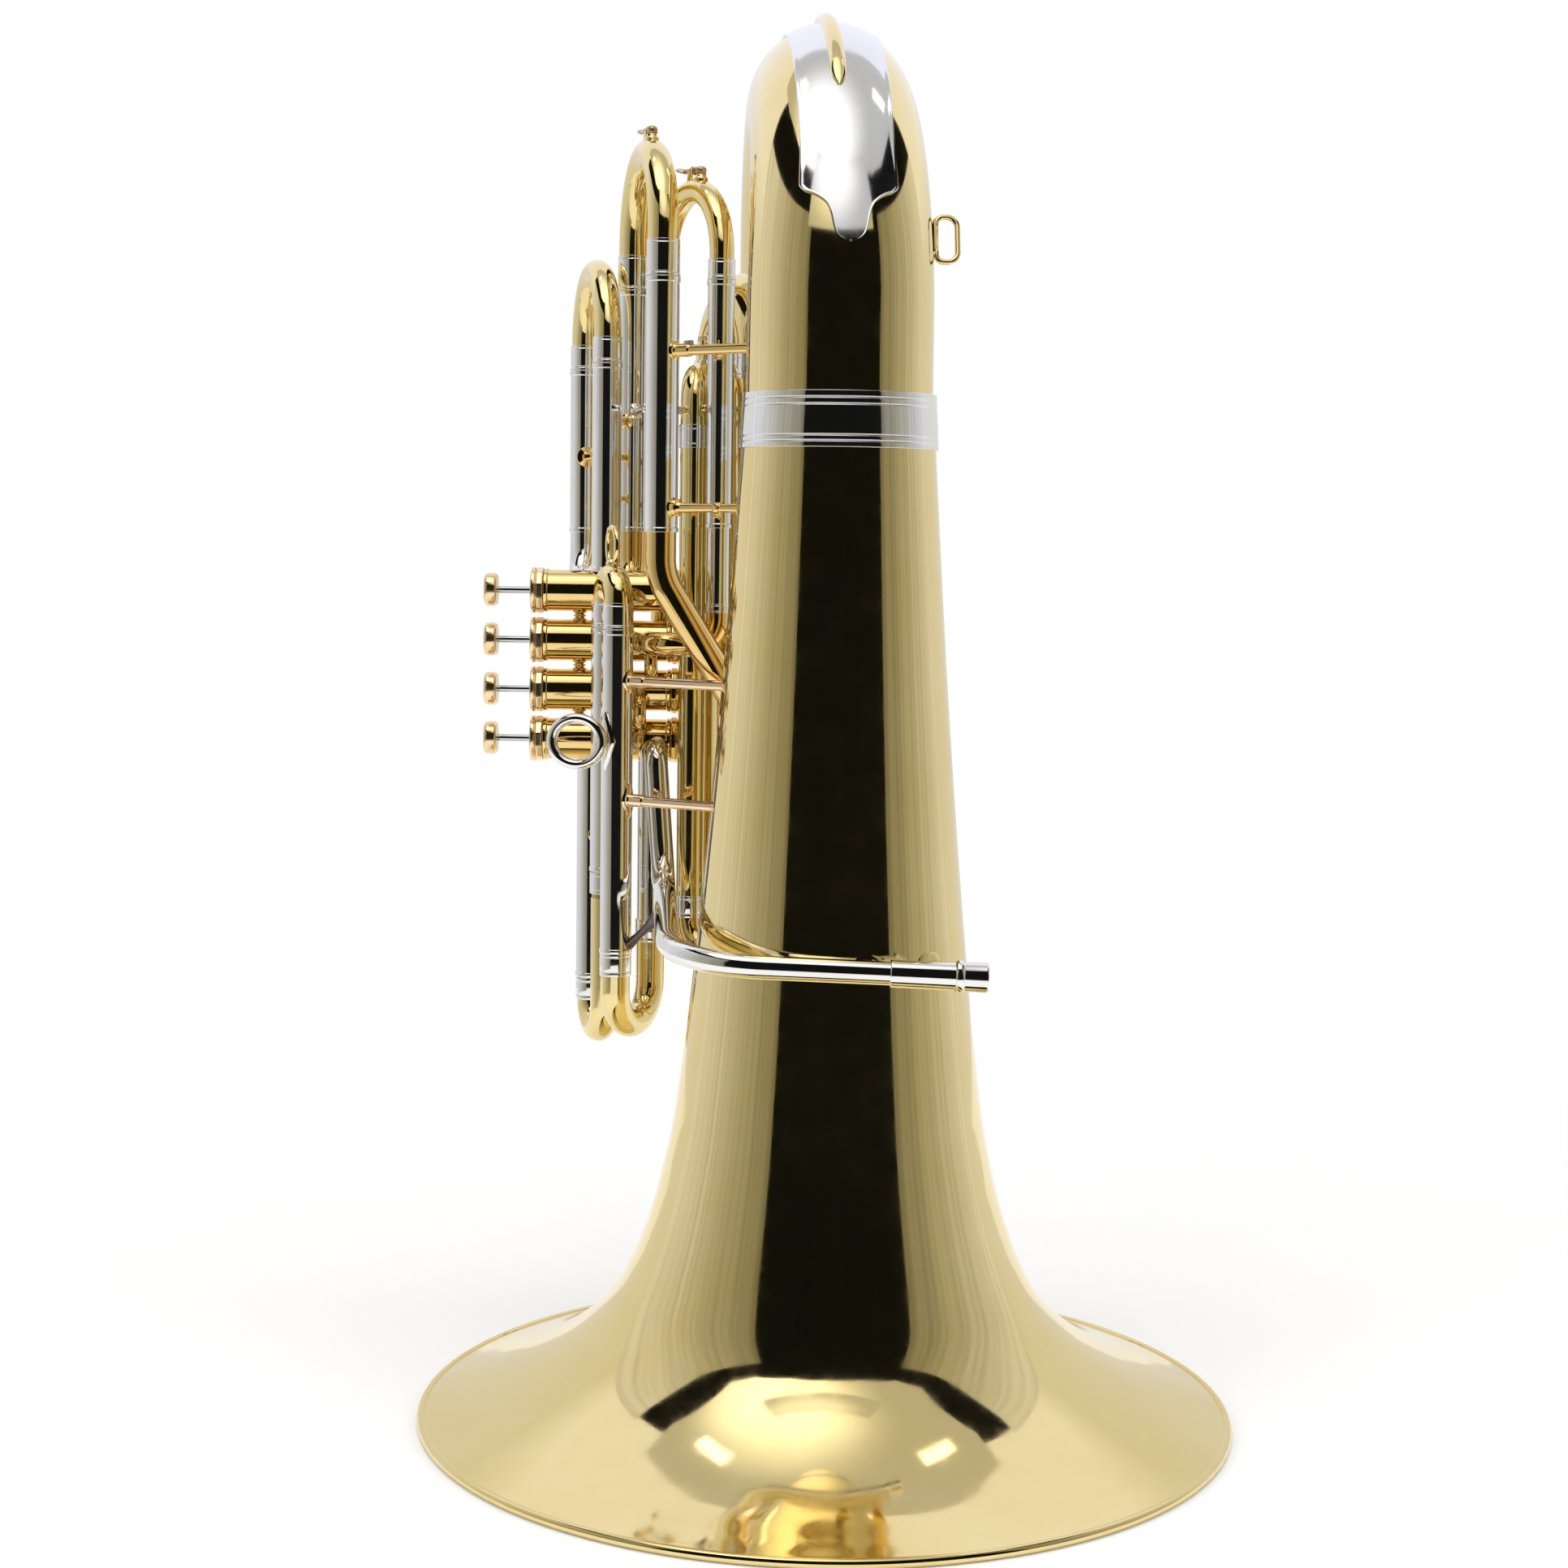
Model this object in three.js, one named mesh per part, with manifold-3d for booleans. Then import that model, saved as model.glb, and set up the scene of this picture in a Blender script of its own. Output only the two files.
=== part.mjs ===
// A four-valve tuba standing on its bell, in millimetres, +Z up.
// The bell axis is the Z axis of the working frame, the valves lie along X and
// point to -X, and the branches are folded behind the bell, towards +Y.
import * as THREE from 'three';
import { mergeVertices } from 'three/addons/utils/BufferGeometryUtils.js';
import Module from 'manifold-3d';

const wasm = await Module();
wasm.setup();

// Fits shared by all pieces
const fit = 0.3;
const cutOverrun = 4;
const wall = 1.1;
const chamfer = 0.8;

// Bell
const bellRimRadius = 254;
const bellThroatRadius = 58.2;
const bellHeight = 617;
const beadRadius = 2.4;
const beadFoot = 1;
const bellStations = 13;
// Pairs of height and flare along the bell, from the rim to the throat
const bellOutlineShares = [
  [0.008, 0.976], [0.015, 0.908], [0.028, 0.796], [0.046, 0.673], [0.07, 0.551],
  [0.097, 0.453], [0.125, 0.379], [0.158, 0.323], [0.192, 0.281], [0.226, 0.248],
  [0.26, 0.222], [0.293, 0.2], [0.326, 0.184], [0.393, 0.157], [0.461, 0.134],
  [0.56, 0.104], [0.69, 0.069], [0.82, 0.038], [1, 0],
];

// Ferrule band between the bell and the main bow
const bandBelow = 16.5;
const bandAbove = 16.5;
const bandWall = 1.4;

// Main bow over the top, from the bell to the outer branch
const bowPlaneDegrees = 4.5;
const bowSpan = 260;
const bowArcHeight = 693;
const bowStartRadius = 57;
const bowShoulderRadius = 56.6;
const bowApexRadius = 50;
const bowEndRadius = 43.5;
const bowEndHeight = 640;

// Guard cap and guard wire on the outside of the main bow
const guardThickness = 1;
const guardWireHalfWidth = 6;
const guardWireHeight = 4;
// Pairs of place along the half turn of the bow and half width, from tip to tip
const guardOutlineShares = [
  [0.046, 0.03], [0.055, 0.25], [0.07, 0.31], [0.083, 0.4], [0.097, 0.64], [0.106, 0.87],
  [0.12, 0.87], [0.25, 0.87], [0.39, 0.92], [0.5, 0.95], [0.61, 0.92], [0.75, 0.87],
  [0.88, 0.87], [0.894, 0.87], [0.903, 0.64], [0.917, 0.4], [0.93, 0.31], [0.945, 0.25],
  [0.954, 0.03],
];
const guardHalfWidthDegrees = 36;
const guardRibs = 6;
const wireRibs = 4;
const guardStations = 20;
const guardWireOutlineShares = [
  [0.232, 0.1], [0.242, 0.7], [0.265, 1], [0.5, 1.05], [0.735, 1], [0.758, 0.7], [0.768, 0.1],
];

// Branches behind the bell: places of their axes and radii, mouth side first
const outerBranchEndRadius = 34;
const lowerBowHeight = 285;
const innerBranchX = -71;
const innerBranchY = 196;
const innerBranchStartRadius = 28;
const innerBowHeight = 664;
const innerBranchEndRadius = 23.5;
const thirdBranchX = -48;
const thirdBranchY = 128;
const thirdBranchStartRadius = 19;
const thirdBranchEndRadius = 14.5;
const smallBowHeight = 300;
const loopRearX = -86;
const loopRearY = 157;
const loopRearRadius = 10.4;
const loopFrontX = -92;
const loopFrontY = 123;
const loopFrontRadius = 9.2;
const loopTopHeight = 634;
const feedBowHeight = 295;
const feedX = -60;
const feedY = 86;
const feedRadius = 9.8;
const feedCornerLow = 436;
const feedCornerHigh = 520;
const feedBendRadius = 42;
const branchFerruleLength = 15;
const branchFerruleRise = 0.9;

// Valves: the row stands along Z, valve 1 lowest
const valveCount = 4;
const valveY = 150;
const valveFirstZ = 409.8;
const valvePitch = 33.1;
const valveBaseX = -107;
const casingLength = 85;
const casingRadius = 13.7;
const casingWall = 1.7;
const capRadius = 15.3;
const topCapLength = 11;
const bottomCapLength = 8;
const capSpigot = 4;
const capWall = 2.4;
const ventRadius = 3;
const pistonLength = 50;
const pistonTopGap = 2;
const pistonPortRadius = 6.5;
const stemRadius = 2.4;
const stemShown = 20;
const stemHoleGap = 0.7;
const buttonRadius = 10.9;
const buttonThickness = 9.2;
const springRadius = 8.6;
const springWire = 1.6;
const portLift = 2.4;
const crossoverX = -146;
const crossoverRadius = 7;
const balusterX = -168;
const balusterRadius = 2.4;

// Slides share these: a moving leg runs inside a sleeve
const slideGap = 0.4;
const ferruleLength = 28;
const shortFerruleLength = 17;
const ferruleRise = 0.8;
const sleeveRingLength = 3;

// Main tuning slide
const mainNearX = -111.5;
const mainNearY = 84;
const mainFarX = -136.6;
const mainFarY = 191;
const mainSleeveRadius = 10.7;
const mainFarTubeRadius = 9.9;
const mainBowHeight = 739;
const mainSleeveEnd = 549;
const mainLegLength = 110;

// Slide of the fourth valve
const fourthNearX = -151;
const fourthFarX = -173;
const fourthFarY = 238;
const fourthSleeveRadius = 9.8;
const fourthBowHeight = 677;
const fourthLegLength = 90;
const fourthBendRadius = 34;

// Slide of the third valve
const thirdRightX = -74.8;
const thirdRightY = 104;
const thirdLeftX = -114.8;
const thirdLeftY = 181;
const thirdSleeveRadius = 8.7;
const thirdKnuckleRadius = 7.8;
const thirdBowHeight = 728;
const thirdSleeveEnd = 552;
const thirdLegLength = 90;
const thirdPortX = -120;
const thirdBendRadius = 18;
const portBendRadius = 11;

// Slide of the second valve, behind the casings
const secondRightX = -135;
const secondLeftX = -165;
const secondSleeveRadius = 8.4;
const secondSleeveLength = 50;
const secondLegLength = 45;

// Slides of the first valve: a folded loop with two bows below and one above
const firstFrontX = -139.5;
const firstFrontY = 95;
const firstMiddleX = -148.5;
const firstMiddleY = 124.5;
const firstLeftX = -160;
const firstLeftY = 158;
const firstRightX = -119;
const firstRightY = 140;
const firstSleeveRadius = 10.3;
const firstTopHeight = 503;
const firstFrontEnd = 274;
const firstMiddleEnd = 324;
const firstLeftEnd = 247;
const firstRightEnd = 290;
const firstLowBowHeight = 233;
const firstFixedBowHeight = 248;
const firstTopLegShare = 0.38;
const firstLowLegShare = 0.46;
const pullRingRadius = 12.5;
const pullRingWire = 2.2;

// Leadpipe and mouthpiece receiver, in front of the bell
const leadpipeX = -115.3;
const leadpipeY = 114;
const leadpipeTop = 405.5;
const leadpipeLowX = -109;
const leadpipeLow = 318;
const leadpipeTurnX = -96;
const leadpipeFrontY = -98;
const leadpipeFrontZ = 299.9;
const leadpipeValveRadius = 7.8;
const leadpipeSmallRadius = 6.9;
const leadpipeCornerRadius = 13;
const leadpipeTurnRadius = 34;
const leadpipeFrontRadius = 60;
const leadpipeEndX = 33;
const receiverEndX = 90;
const receiverEndZ = 293.8;
const receiverRadius = 8.2;
const receiverRingRadius = 8.9;
const receiverBore = 6.2;
const receiverRingLength = 16;
const receiverBeadLength = 5;
const receiverOverlap = 12;
const bracketX = 21;
const receiverBracketX = 58;
const bracketWidth = 16;
const bracketThickness = 3;

// Thumb ring, strap ring and water keys
const thumbRingRadius = 17;
const thumbRingWire = 2.5;
const thumbRingZ = 413.5;
const thumbSaddleHalf = 13;
const thumbSaddleThickness = 1.4;
const strapRingZ = 728;
const strapRingLength = 31;
const strapRingWidth = 16;
const strapRingWire = 1.7;
const strapPlateThickness = 1.8;
const strapPlateShare = 2 / 3;
const keyLeverLength = 34;
const keyLeverWidth = 5;
const keyLeverThickness = 1.6;
const keySeatRadius = 4;
const keySeatHeight = 4;
const keyPlateLength = 12;
const keyPlateRise = 5;
const keyPostHeight = 8;
const keyPostThickness = 2;
const keyPinRadius = 1.2;
const keySeatShare = 0.32;
const keySeatDrop = 1.2;
const keyPlateTiltDegrees = 40;

// Braces
const braceRodRadius = 3.4;
const braceFlangeRadius = 7;
const braceFlangeLength = 2;
const braceSocketRadius = 4.6;
const braceSocketLength = 9;
const braceUpperZ = 664;
const braceTurnedZ = 564.6;
const braceValvesZ = 452.5;
const braceLowerZ = 375;
const braceInset = 0.5;
const postRadius = 3;

// Facets
const roundSides = 24;
const bowSides = 20;
const branchSides = 12;
const tubeSides = 10;
const rodSides = 8;
const bendSag = 0.9;
const ringSteps = 4;
const smallStep = 1e-6;

const degrees = Math.PI / 180;
const halfTurn = Math.PI;
const quarterTurn = halfTurn / 2;
const up = new THREE.Vector3(0, 0, 1);
const down = new THREE.Vector3(0, 0, -1);
const towardsRear = new THREE.Vector3(0, 1, 0);
const towardsFront = new THREE.Vector3(0, -1, 0);
const towardsPlayer = new THREE.Vector3(-1, 0, 0);
const towardsRight = new THREE.Vector3(1, 0, 0);

const at = (x, y, z) => new THREE.Vector3(x, y, z);
const shifted = (point, direction, distance) => point.clone().addScaledVector(direction, distance);
const between = (a, b) => b.clone().sub(a).normalize();
const apothem = (sides) => Math.cos(halfTurn / sides);

// Colours of the metals
const brass = { color: 0xe2c27a, roughness: 0.16, metalness: 1 };
const deepBrass = { color: 0xc99a3c, roughness: 0.18, metalness: 1 };
const nickel = { color: 0xc9c6c0, roughness: 0.14, metalness: 1 };
const steel = { color: 0xb9bbc0, roughness: 0.2, metalness: 1 };

const horn = new THREE.Group();

function place(name, geometry, metal) {
  const mesh = new THREE.Mesh(geometry, new THREE.MeshStandardMaterial(metal));
  mesh.name = name;
  horn.add(mesh);
  return mesh;
}

// A route is a broken line whose corners are rounded, with one bend radius or one for each
class Route {
  constructor(points, bendRadius = 0) {
    this.pieces = [];
    this.length = 0;
    let from = points[0];
    for (let i = 1; i < points.length - 1; i += 1) {
      const inward = between(points[i - 1], points[i]);
      const outward = between(points[i], points[i + 1]);
      const turn = inward.angleTo(outward);
      const radius = Array.isArray(bendRadius) ? bendRadius[i - 1] : bendRadius;
      const reach = radius * Math.tan(turn / 2);
      this.addLine(from, shifted(points[i], inward, -reach));
      this.addArc(shifted(points[i], inward, -reach), inward, outward, turn, radius);
      from = shifted(points[i], outward, reach);
    }
    this.addLine(from, points[points.length - 1]);
  }

  addLine(a, b) {
    const length = a.distanceTo(b);
    if (length < smallStep) return;
    const tangent = between(a, b);
    const point = (s) => ({ point: shifted(a, tangent, s), tangent: tangent.clone() });
    this.pieces.push({ start: this.length, length, steps: 1, point });
    this.length += length;
  }

  addArc(start, inward, outward, turn, radius) {
    const axis = inward.clone().cross(outward).normalize();
    const centre = shifted(start, axis.clone().cross(inward), radius);
    const arm = start.clone().sub(centre);
    const point = (s) => ({
      point: arm.clone().applyAxisAngle(axis, s / radius).add(centre),
      tangent: inward.clone().applyAxisAngle(axis, s / radius),
    });
    const steps = Math.max(2, Math.round(turn / (2 * Math.acos(1 - bendSag / radius))));
    this.pieces.push({ start: this.length, length: radius * turn, steps, point });
    this.length += radius * turn;
  }

  at(s) {
    const piece = this.pieces.find((p) => s <= p.start + p.length + smallStep) || this.pieces.at(-1);
    return piece.point(s - piece.start);
  }

  stops() {
    const list = [0];
    for (const piece of this.pieces) {
      for (let i = 1; i <= piece.steps; i += 1) list.push(piece.start + (piece.length * i) / piece.steps);
    }
    return list;
  }
}

// A U of two parallel legs: down leg a, through the bow, up leg b, or the reverse
function uRoute(a, b, bowHeight, bowDirection, endA, endB) {
  const radius = a.distanceTo(b) / 2;
  const corner = bowHeight + bowDirection * radius;
  const points = [
    at(a.x, a.y, endA), at(a.x, a.y, corner), at(b.x, b.y, corner), at(b.x, b.y, endB),
  ];
  return new Route(points, radius);
}

function interpolate(marks, s) {
  if (s <= marks[0][0]) return marks[0];
  for (let i = 1; i < marks.length; i += 1) {
    if (s <= marks[i][0]) {
      const share = (s - marks[i - 1][0]) / (marks[i][0] - marks[i - 1][0]);
      return marks[i].map((value, k) => THREE.MathUtils.lerp(marks[i - 1][k], value, share));
    }
  }
  return marks[marks.length - 1];
}

// A tube along a route; marks hold place, outer radius and inner radius
function tube(route, marks, { sides = tubeSides, first = towardsPlayer } = {}) {
  const stops = [...route.stops(), ...marks.map((mark) => mark[0])]
    .filter((s) => s >= 0 && s <= route.length)
    .sort((a, b) => a - b)
    .filter((s, i, all) => i === 0 || s - all[i - 1] > smallStep);
  const positions = [];
  let normal = first.clone();
  let last = route.at(0).tangent;
  for (const s of stops) {
    const { point, tangent } = route.at(s);
    const axis = last.clone().cross(tangent);
    const angle = last.angleTo(tangent);
    if (angle > smallStep) normal.applyAxisAngle(axis.normalize(), angle);
    normal.addScaledVector(tangent, -normal.dot(tangent)).normalize();
    last = tangent;
    const side = tangent.clone().cross(normal);
    const [, outer, inner] = interpolate(marks, s);
    for (const radius of [outer, inner]) {
      for (let k = 0; k < sides; k += 1) {
        const turn = (2 * halfTurn * k) / sides;
        const spot = shifted(point, normal, radius * Math.cos(turn));
        positions.push(...shifted(spot, side, radius * Math.sin(turn)).toArray());
      }
    }
  }
  return ringsToSolid(positions, stops.length, sides);
}

// Joins rings of outer and inner points into a closed tube wall
function ringsToSolid(positions, ringCount, sides) {
  const index = [];
  const outer = (i, k) => i * 2 * sides + (k % sides);
  const inner = (i, k) => outer(i, k) + sides;
  const quad = (a, b, c, d) => index.push(a, b, c, a, c, d);
  for (let k = 0; k < sides; k += 1) {
    for (let i = 0; i + 1 < ringCount; i += 1) {
      quad(outer(i, k), outer(i, k + 1), outer(i + 1, k + 1), outer(i + 1, k));
      quad(inner(i, k + 1), inner(i, k), inner(i + 1, k), inner(i + 1, k + 1));
    }
    const end = ringCount - 1;
    quad(outer(0, k + 1), outer(0, k), inner(0, k), inner(0, k + 1));
    quad(outer(end, k), outer(end, k + 1), inner(end, k + 1), inner(end, k));
  }
  const geometry = new THREE.BufferGeometry();
  geometry.setAttribute('position', new THREE.Float32BufferAttribute(positions, 3));
  geometry.setIndex(index);
  return geometry;
}

// Marks of an even tube, and of one with a raised ferrule between two places
function evenMarks(length, radius, thickness = wall) {
  return [[0, radius, radius - thickness], [length, radius, radius - thickness]];
}

function ferruleMarks(from, to, radius, bore, rise = ferruleRise) {
  return [
    [from, radius, bore],
    [from + chamfer, radius + rise, bore],
    [to - chamfer, radius + rise, bore],
    [to, radius, bore],
  ];
}

// A turned piece about a local axis; its profile of [place, radius] closes on itself
function turned(profile, origin, direction, sides = tubeSides) {
  const outline = profile.map(([place, radius]) => new THREE.Vector2(radius, place));
  if (THREE.ShapeUtils.isClockWise(outline)) outline.reverse();
  const points = [...outline, outline[0]];
  const geometry = new THREE.LatheGeometry(points, sides);
  geometry.applyQuaternion(new THREE.Quaternion().setFromUnitVectors(towardsRear, direction));
  geometry.translate(origin.x, origin.y, origin.z);
  return geometry;
}

// A solid turned piece whose profile starts and ends on the axis
function solidTurned(profile, origin, direction, sides = rodSides) {
  const first = [profile[0][0], 0];
  const last = [profile[profile.length - 1][0], 0];
  const points = [first, ...profile, last].map(([place, radius]) => new THREE.Vector2(radius, place));
  const geometry = new THREE.LatheGeometry(points, sides);
  geometry.applyQuaternion(new THREE.Quaternion().setFromUnitVectors(towardsRear, direction));
  geometry.translate(origin.x, origin.y, origin.z);
  return geometry;
}

const rod = (from, to, radius, sides = rodSides) =>
  solidTurned([[0, radius], [from.distanceTo(to), radius]], from, between(from, to), sides);

function toManifold(geometry) {
  const bare = geometry.clone();
  for (const key of Object.keys(bare.attributes)) if (key !== 'position') bare.deleteAttribute(key);
  const merged = mergeVertices(bare, smallStep);
  const kept = [];
  const { index } = merged;
  for (let i = 0; i < index.count; i += 3) {
    const corner = [index.getX(i), index.getX(i + 1), index.getX(i + 2)];
    if (new Set(corner).size === 3) kept.push(...corner);
  }
  const mesh = new wasm.Mesh({
    numProp: 3,
    vertProperties: new Float32Array(merged.attributes.position.array),
    triVerts: new Uint32Array(kept),
  });
  return new wasm.Manifold(mesh);
}

function fromManifold(solid) {
  const mesh = solid.getMesh();
  const geometry = new THREE.BufferGeometry();
  geometry.setAttribute('position', new THREE.Float32BufferAttribute(mesh.vertProperties, 3));
  geometry.setIndex(Array.from(mesh.triVerts));
  return geometry;
}

const join = (...pieces) =>
  fromManifold(pieces.map(toManifold).reduce((a, b) => a.add(b)));
const cut = (body, ...tools) =>
  fromManifold(tools.map(toManifold).reduce((a, b) => a.subtract(b), toManifold(body)));

// Bell and ferrule band

const flare = bellRimRadius - bellThroatRadius;
const bellOutline = new THREE.SplineCurve(bellOutlineShares.map(([height, width]) =>
  new THREE.Vector2(bellThroatRadius + flare * width, bellHeight * height)));

function bellRadiusAt(z) {
  let low = 0;
  let high = 1;
  while (high - low > smallStep) {
    const middle = (low + high) / 2;
    if (bellOutline.getPoint(middle).y < z) low = middle;
    else high = middle;
  }
  return bellOutline.getPoint(low).x;
}

function bellGeometry() {
  const outer = bellOutline.getPoints(bellStations);
  const inner = outer.map((p, i) => {
    const tangent = bellOutline.getTangent(i / bellStations);
    return new THREE.Vector2(p.x - wall * tangent.y, p.y + wall * tangent.x);
  });
  const beadCentre = bellRimRadius - beadRadius;
  const bead = [
    [beadCentre + beadRadius * Math.SQRT1_2, beadRadius * (1 + Math.SQRT1_2)],
    [bellRimRadius, beadRadius],
    [beadCentre + beadFoot, 0],
    [beadCentre - beadFoot, 0],
    [beadCentre - beadRadius, beadRadius],
  ].map(([x, y]) => new THREE.Vector2(x, y));
  inner[inner.length - 1].y = bellHeight;
  const loop = [...inner.reverse().slice(0, -1), ...bead.reverse(), ...outer];
  const points = [...loop, loop[0]];
  const geometry = new THREE.LatheGeometry(points, roundSides);
  geometry.rotateX(quarterTurn);
  return geometry;
}

function bandGeometry() {
  const low = bellHeight - bandBelow;
  const high = bellHeight + bandAbove;
  const bellSide = (bellRadiusAt(low) + fit) / apothem(roundSides);
  const joint = (bellThroatRadius + fit) / apothem(roundSides);
  const bowEnd = (bowStartRadius + fit) / apothem(roundSides);
  const profile = [
    [low, bellSide], [bellHeight, joint], [high, bowEnd],
    [high, bowEnd + bandWall], [low, bellSide + bandWall],
  ];
  return turned(profile, at(0, 0, 0), up, roundSides);
}

place('bell', bellGeometry(), brass);
place('bell_ferrule', bandGeometry(), nickel);

// Main bow with its guards

const bowAngle = bowPlaneDegrees * degrees;
const bowAcross = at(-Math.sin(bowAngle), Math.cos(bowAngle), 0);
const bowSide = at(Math.cos(bowAngle), Math.sin(bowAngle), 0);
const bowArcRadius = bowSpan / 2;
const bellAxis = at(0, 0, 0);
const outerAxis = shifted(bellAxis, bowAcross, bowSpan);
const bowStart = bellHeight + fit;
const bowRoute = uRoute(bellAxis, outerAxis, bowArcHeight, 1, bowStart, bowEndHeight);
const bowStraight = bowArcHeight - bowStart;
const bowTurn = halfTurn * bowArcRadius;
const bowMarks = [
  [0, bowStartRadius, bowStartRadius - wall],
  [bowStraight, bowShoulderRadius, bowShoulderRadius - wall],
  [bowStraight + bowTurn / 2, bowApexRadius, bowApexRadius - wall],
  [bowRoute.length, bowEndRadius, bowEndRadius - wall],
];
place('main_bow', tube(bowRoute, bowMarks, { sides: bowSides, first: bowSide }), brass);

// The outside of the bow, grown by a clearance, for pieces that end on it
const bowEnvelope = (growth) => tube(
  bowRoute,
  bowMarks.map(([s, radius]) => [s, radius + growth, radius / 2]),
  { sides: bowSides, first: bowSide },
);

// A shell that lies on the outside of the bow, between the pairs of an outline
function bowShell(outline, halfWidth, lift, height, ribs) {
  const positions = [];
  const count = outline.length;
  for (const [place, width] of outline) {
    const s = bowStraight + bowTurn * place;
    const { point, tangent } = bowRoute.at(s);
    const outward = tangent.clone().cross(bowSide).negate();
    const radius = interpolate(bowMarks, s)[1] + lift;
    for (const layer of [1, 0]) {
      for (let k = 0; k <= ribs; k += 1) {
        const across = (2 * k) / ribs - 1;
        const turn = across * halfWidth * width;
        const reach = radius + layer * height(across);
        const spot = shifted(point, outward, reach * Math.cos(turn));
        positions.push(...shifted(spot, bowSide, reach * Math.sin(turn)).toArray());
      }
    }
  }
  const index = [];
  const top = (i, k) => i * 2 * (ribs + 1) + k;
  const low = (i, k) => top(i, k) + ribs + 1;
  const quad = (a, b, c, d) => index.push(a, b, c, a, c, d);
  for (let i = 0; i + 1 < count; i += 1) {
    for (let k = 0; k < ribs; k += 1) {
      quad(top(i, k), top(i, k + 1), top(i + 1, k + 1), top(i + 1, k));
      quad(low(i, k + 1), low(i, k), low(i + 1, k), low(i + 1, k + 1));
    }
    quad(top(i, 0), top(i + 1, 0), low(i + 1, 0), low(i, 0));
    quad(top(i, ribs), low(i, ribs), low(i + 1, ribs), top(i + 1, ribs));
  }
  for (let k = 0; k < ribs; k += 1) {
    quad(top(0, k + 1), top(0, k), low(0, k), low(0, k + 1));
    quad(top(count - 1, k), top(count - 1, k + 1), low(count - 1, k + 1), low(count - 1, k));
  }
  const geometry = new THREE.BufferGeometry();
  geometry.setAttribute('position', new THREE.Float32BufferAttribute(positions, 3));
  geometry.setIndex(index);
  return geometry;
}

// The outline with stations added where two pairs lie far apart
function withMiddles(outline) {
  const list = [];
  outline.forEach((pair, i) => {
    list.push(pair);
    const next = outline[i + 1];
    if (next && next[0] - pair[0] > 1 / guardStations) {
      const count = Math.ceil((next[0] - pair[0]) * guardStations);
      for (let k = 1; k < count; k += 1) {
        list.push(pair.map((value, j) => THREE.MathUtils.lerp(value, next[j], k / count)));
      }
    }
  });
  return list;
}

const guardHalf = guardHalfWidthDegrees * degrees;
// A chord between two stations lies inside the true arc by this much
const stationSag = (bowArcRadius + bowApexRadius) * (1 - Math.cos(halfTurn / guardStations / 2));
const guardLift = fit + stationSag;
const guardShell = bowShell(
  withMiddles(guardOutlineShares), guardHalf, guardLift, () => guardThickness, guardRibs,
);
place('bow_guard', guardShell, nickel);
const wireHalf = guardWireHalfWidth / bowApexRadius;
const wireShape = (across) => guardWireHeight * Math.sqrt(1 - across * across * apothem(wireRibs));
const wireLift = guardLift + guardThickness + fit + stationSag;
const wireShell = bowShell(withMiddles(guardWireOutlineShares), wireHalf, wireLift, wireShape, wireRibs);
place('guard_wire', wireShell, brass);

// Branches behind the bell

const innerAxis = at(innerBranchX, innerBranchY, 0);
const thirdAxis = at(thirdBranchX, thirdBranchY, 0);
const loopRear = at(loopRearX, loopRearY, 0);
const loopFront = at(loopFrontX, loopFrontY, 0);
const feedAxis = at(feedX, feedY, 0);
const mainNear = at(mainNearX, mainNearY, 0);
const mainFar = at(mainFarX, mainFarY, 0);
const atHeight = (axis, z) => at(axis.x, axis.y, z);

// A straight branch with a ferrule at each end
function branch(axis, fromZ, toZ, fromRadius, toRadius) {
  const route = new Route([atHeight(axis, fromZ), atHeight(axis, toZ)]);
  const end = route.length;
  const radiusAt = (s) => THREE.MathUtils.lerp(fromRadius, toRadius, s / end);
  const mark = (s, rise) => [s, radiusAt(s) + rise, radiusAt(s) - wall];
  const marks = [
    mark(0, branchFerruleRise), mark(branchFerruleLength, branchFerruleRise),
    mark(branchFerruleLength + chamfer, 0), mark(end - branchFerruleLength - chamfer, 0),
    mark(end - branchFerruleLength, branchFerruleRise), mark(end, branchFerruleRise),
  ];
  return tube(route, marks, { sides: branchSides });
}

// A bow that joins two upright branches
function bow(a, b, height, direction, fromRadius, toRadius) {
  const route = uRoute(a, b, height, direction, height, height);
  const marks = [[0, fromRadius, fromRadius - wall], [route.length, toRadius, toRadius - wall]];
  return tube(route, marks, { sides: branchSides, first: between(a, b) });
}

const outerTop = bowEndHeight - fit;
const lowerTop = lowerBowHeight + fit;
const innerTop = innerBowHeight - fit;
const smallTop = smallBowHeight + fit;
const outerBranch = branch(outerAxis, outerTop, lowerTop, bowEndRadius, outerBranchEndRadius);
const innerBranch = branch(innerAxis, lowerTop, innerTop, innerBranchStartRadius, innerBranchEndRadius);
const thirdBranch = branch(thirdAxis, innerTop, smallTop, thirdBranchStartRadius, thirdBranchEndRadius);
const lowerBow = bow(
  outerAxis, innerAxis, lowerBowHeight, -1, outerBranchEndRadius, innerBranchStartRadius,
);
const innerBow = bow(
  innerAxis, thirdAxis, innerBowHeight, 1, innerBranchEndRadius, thirdBranchStartRadius,
);
place('outer_branch', outerBranch, brass);
place('lower_bow', lowerBow, brass);
place('inner_branch', innerBranch, brass);
place('inner_bow', innerBow, brass);
place('third_branch', thirdBranch, brass);

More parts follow.
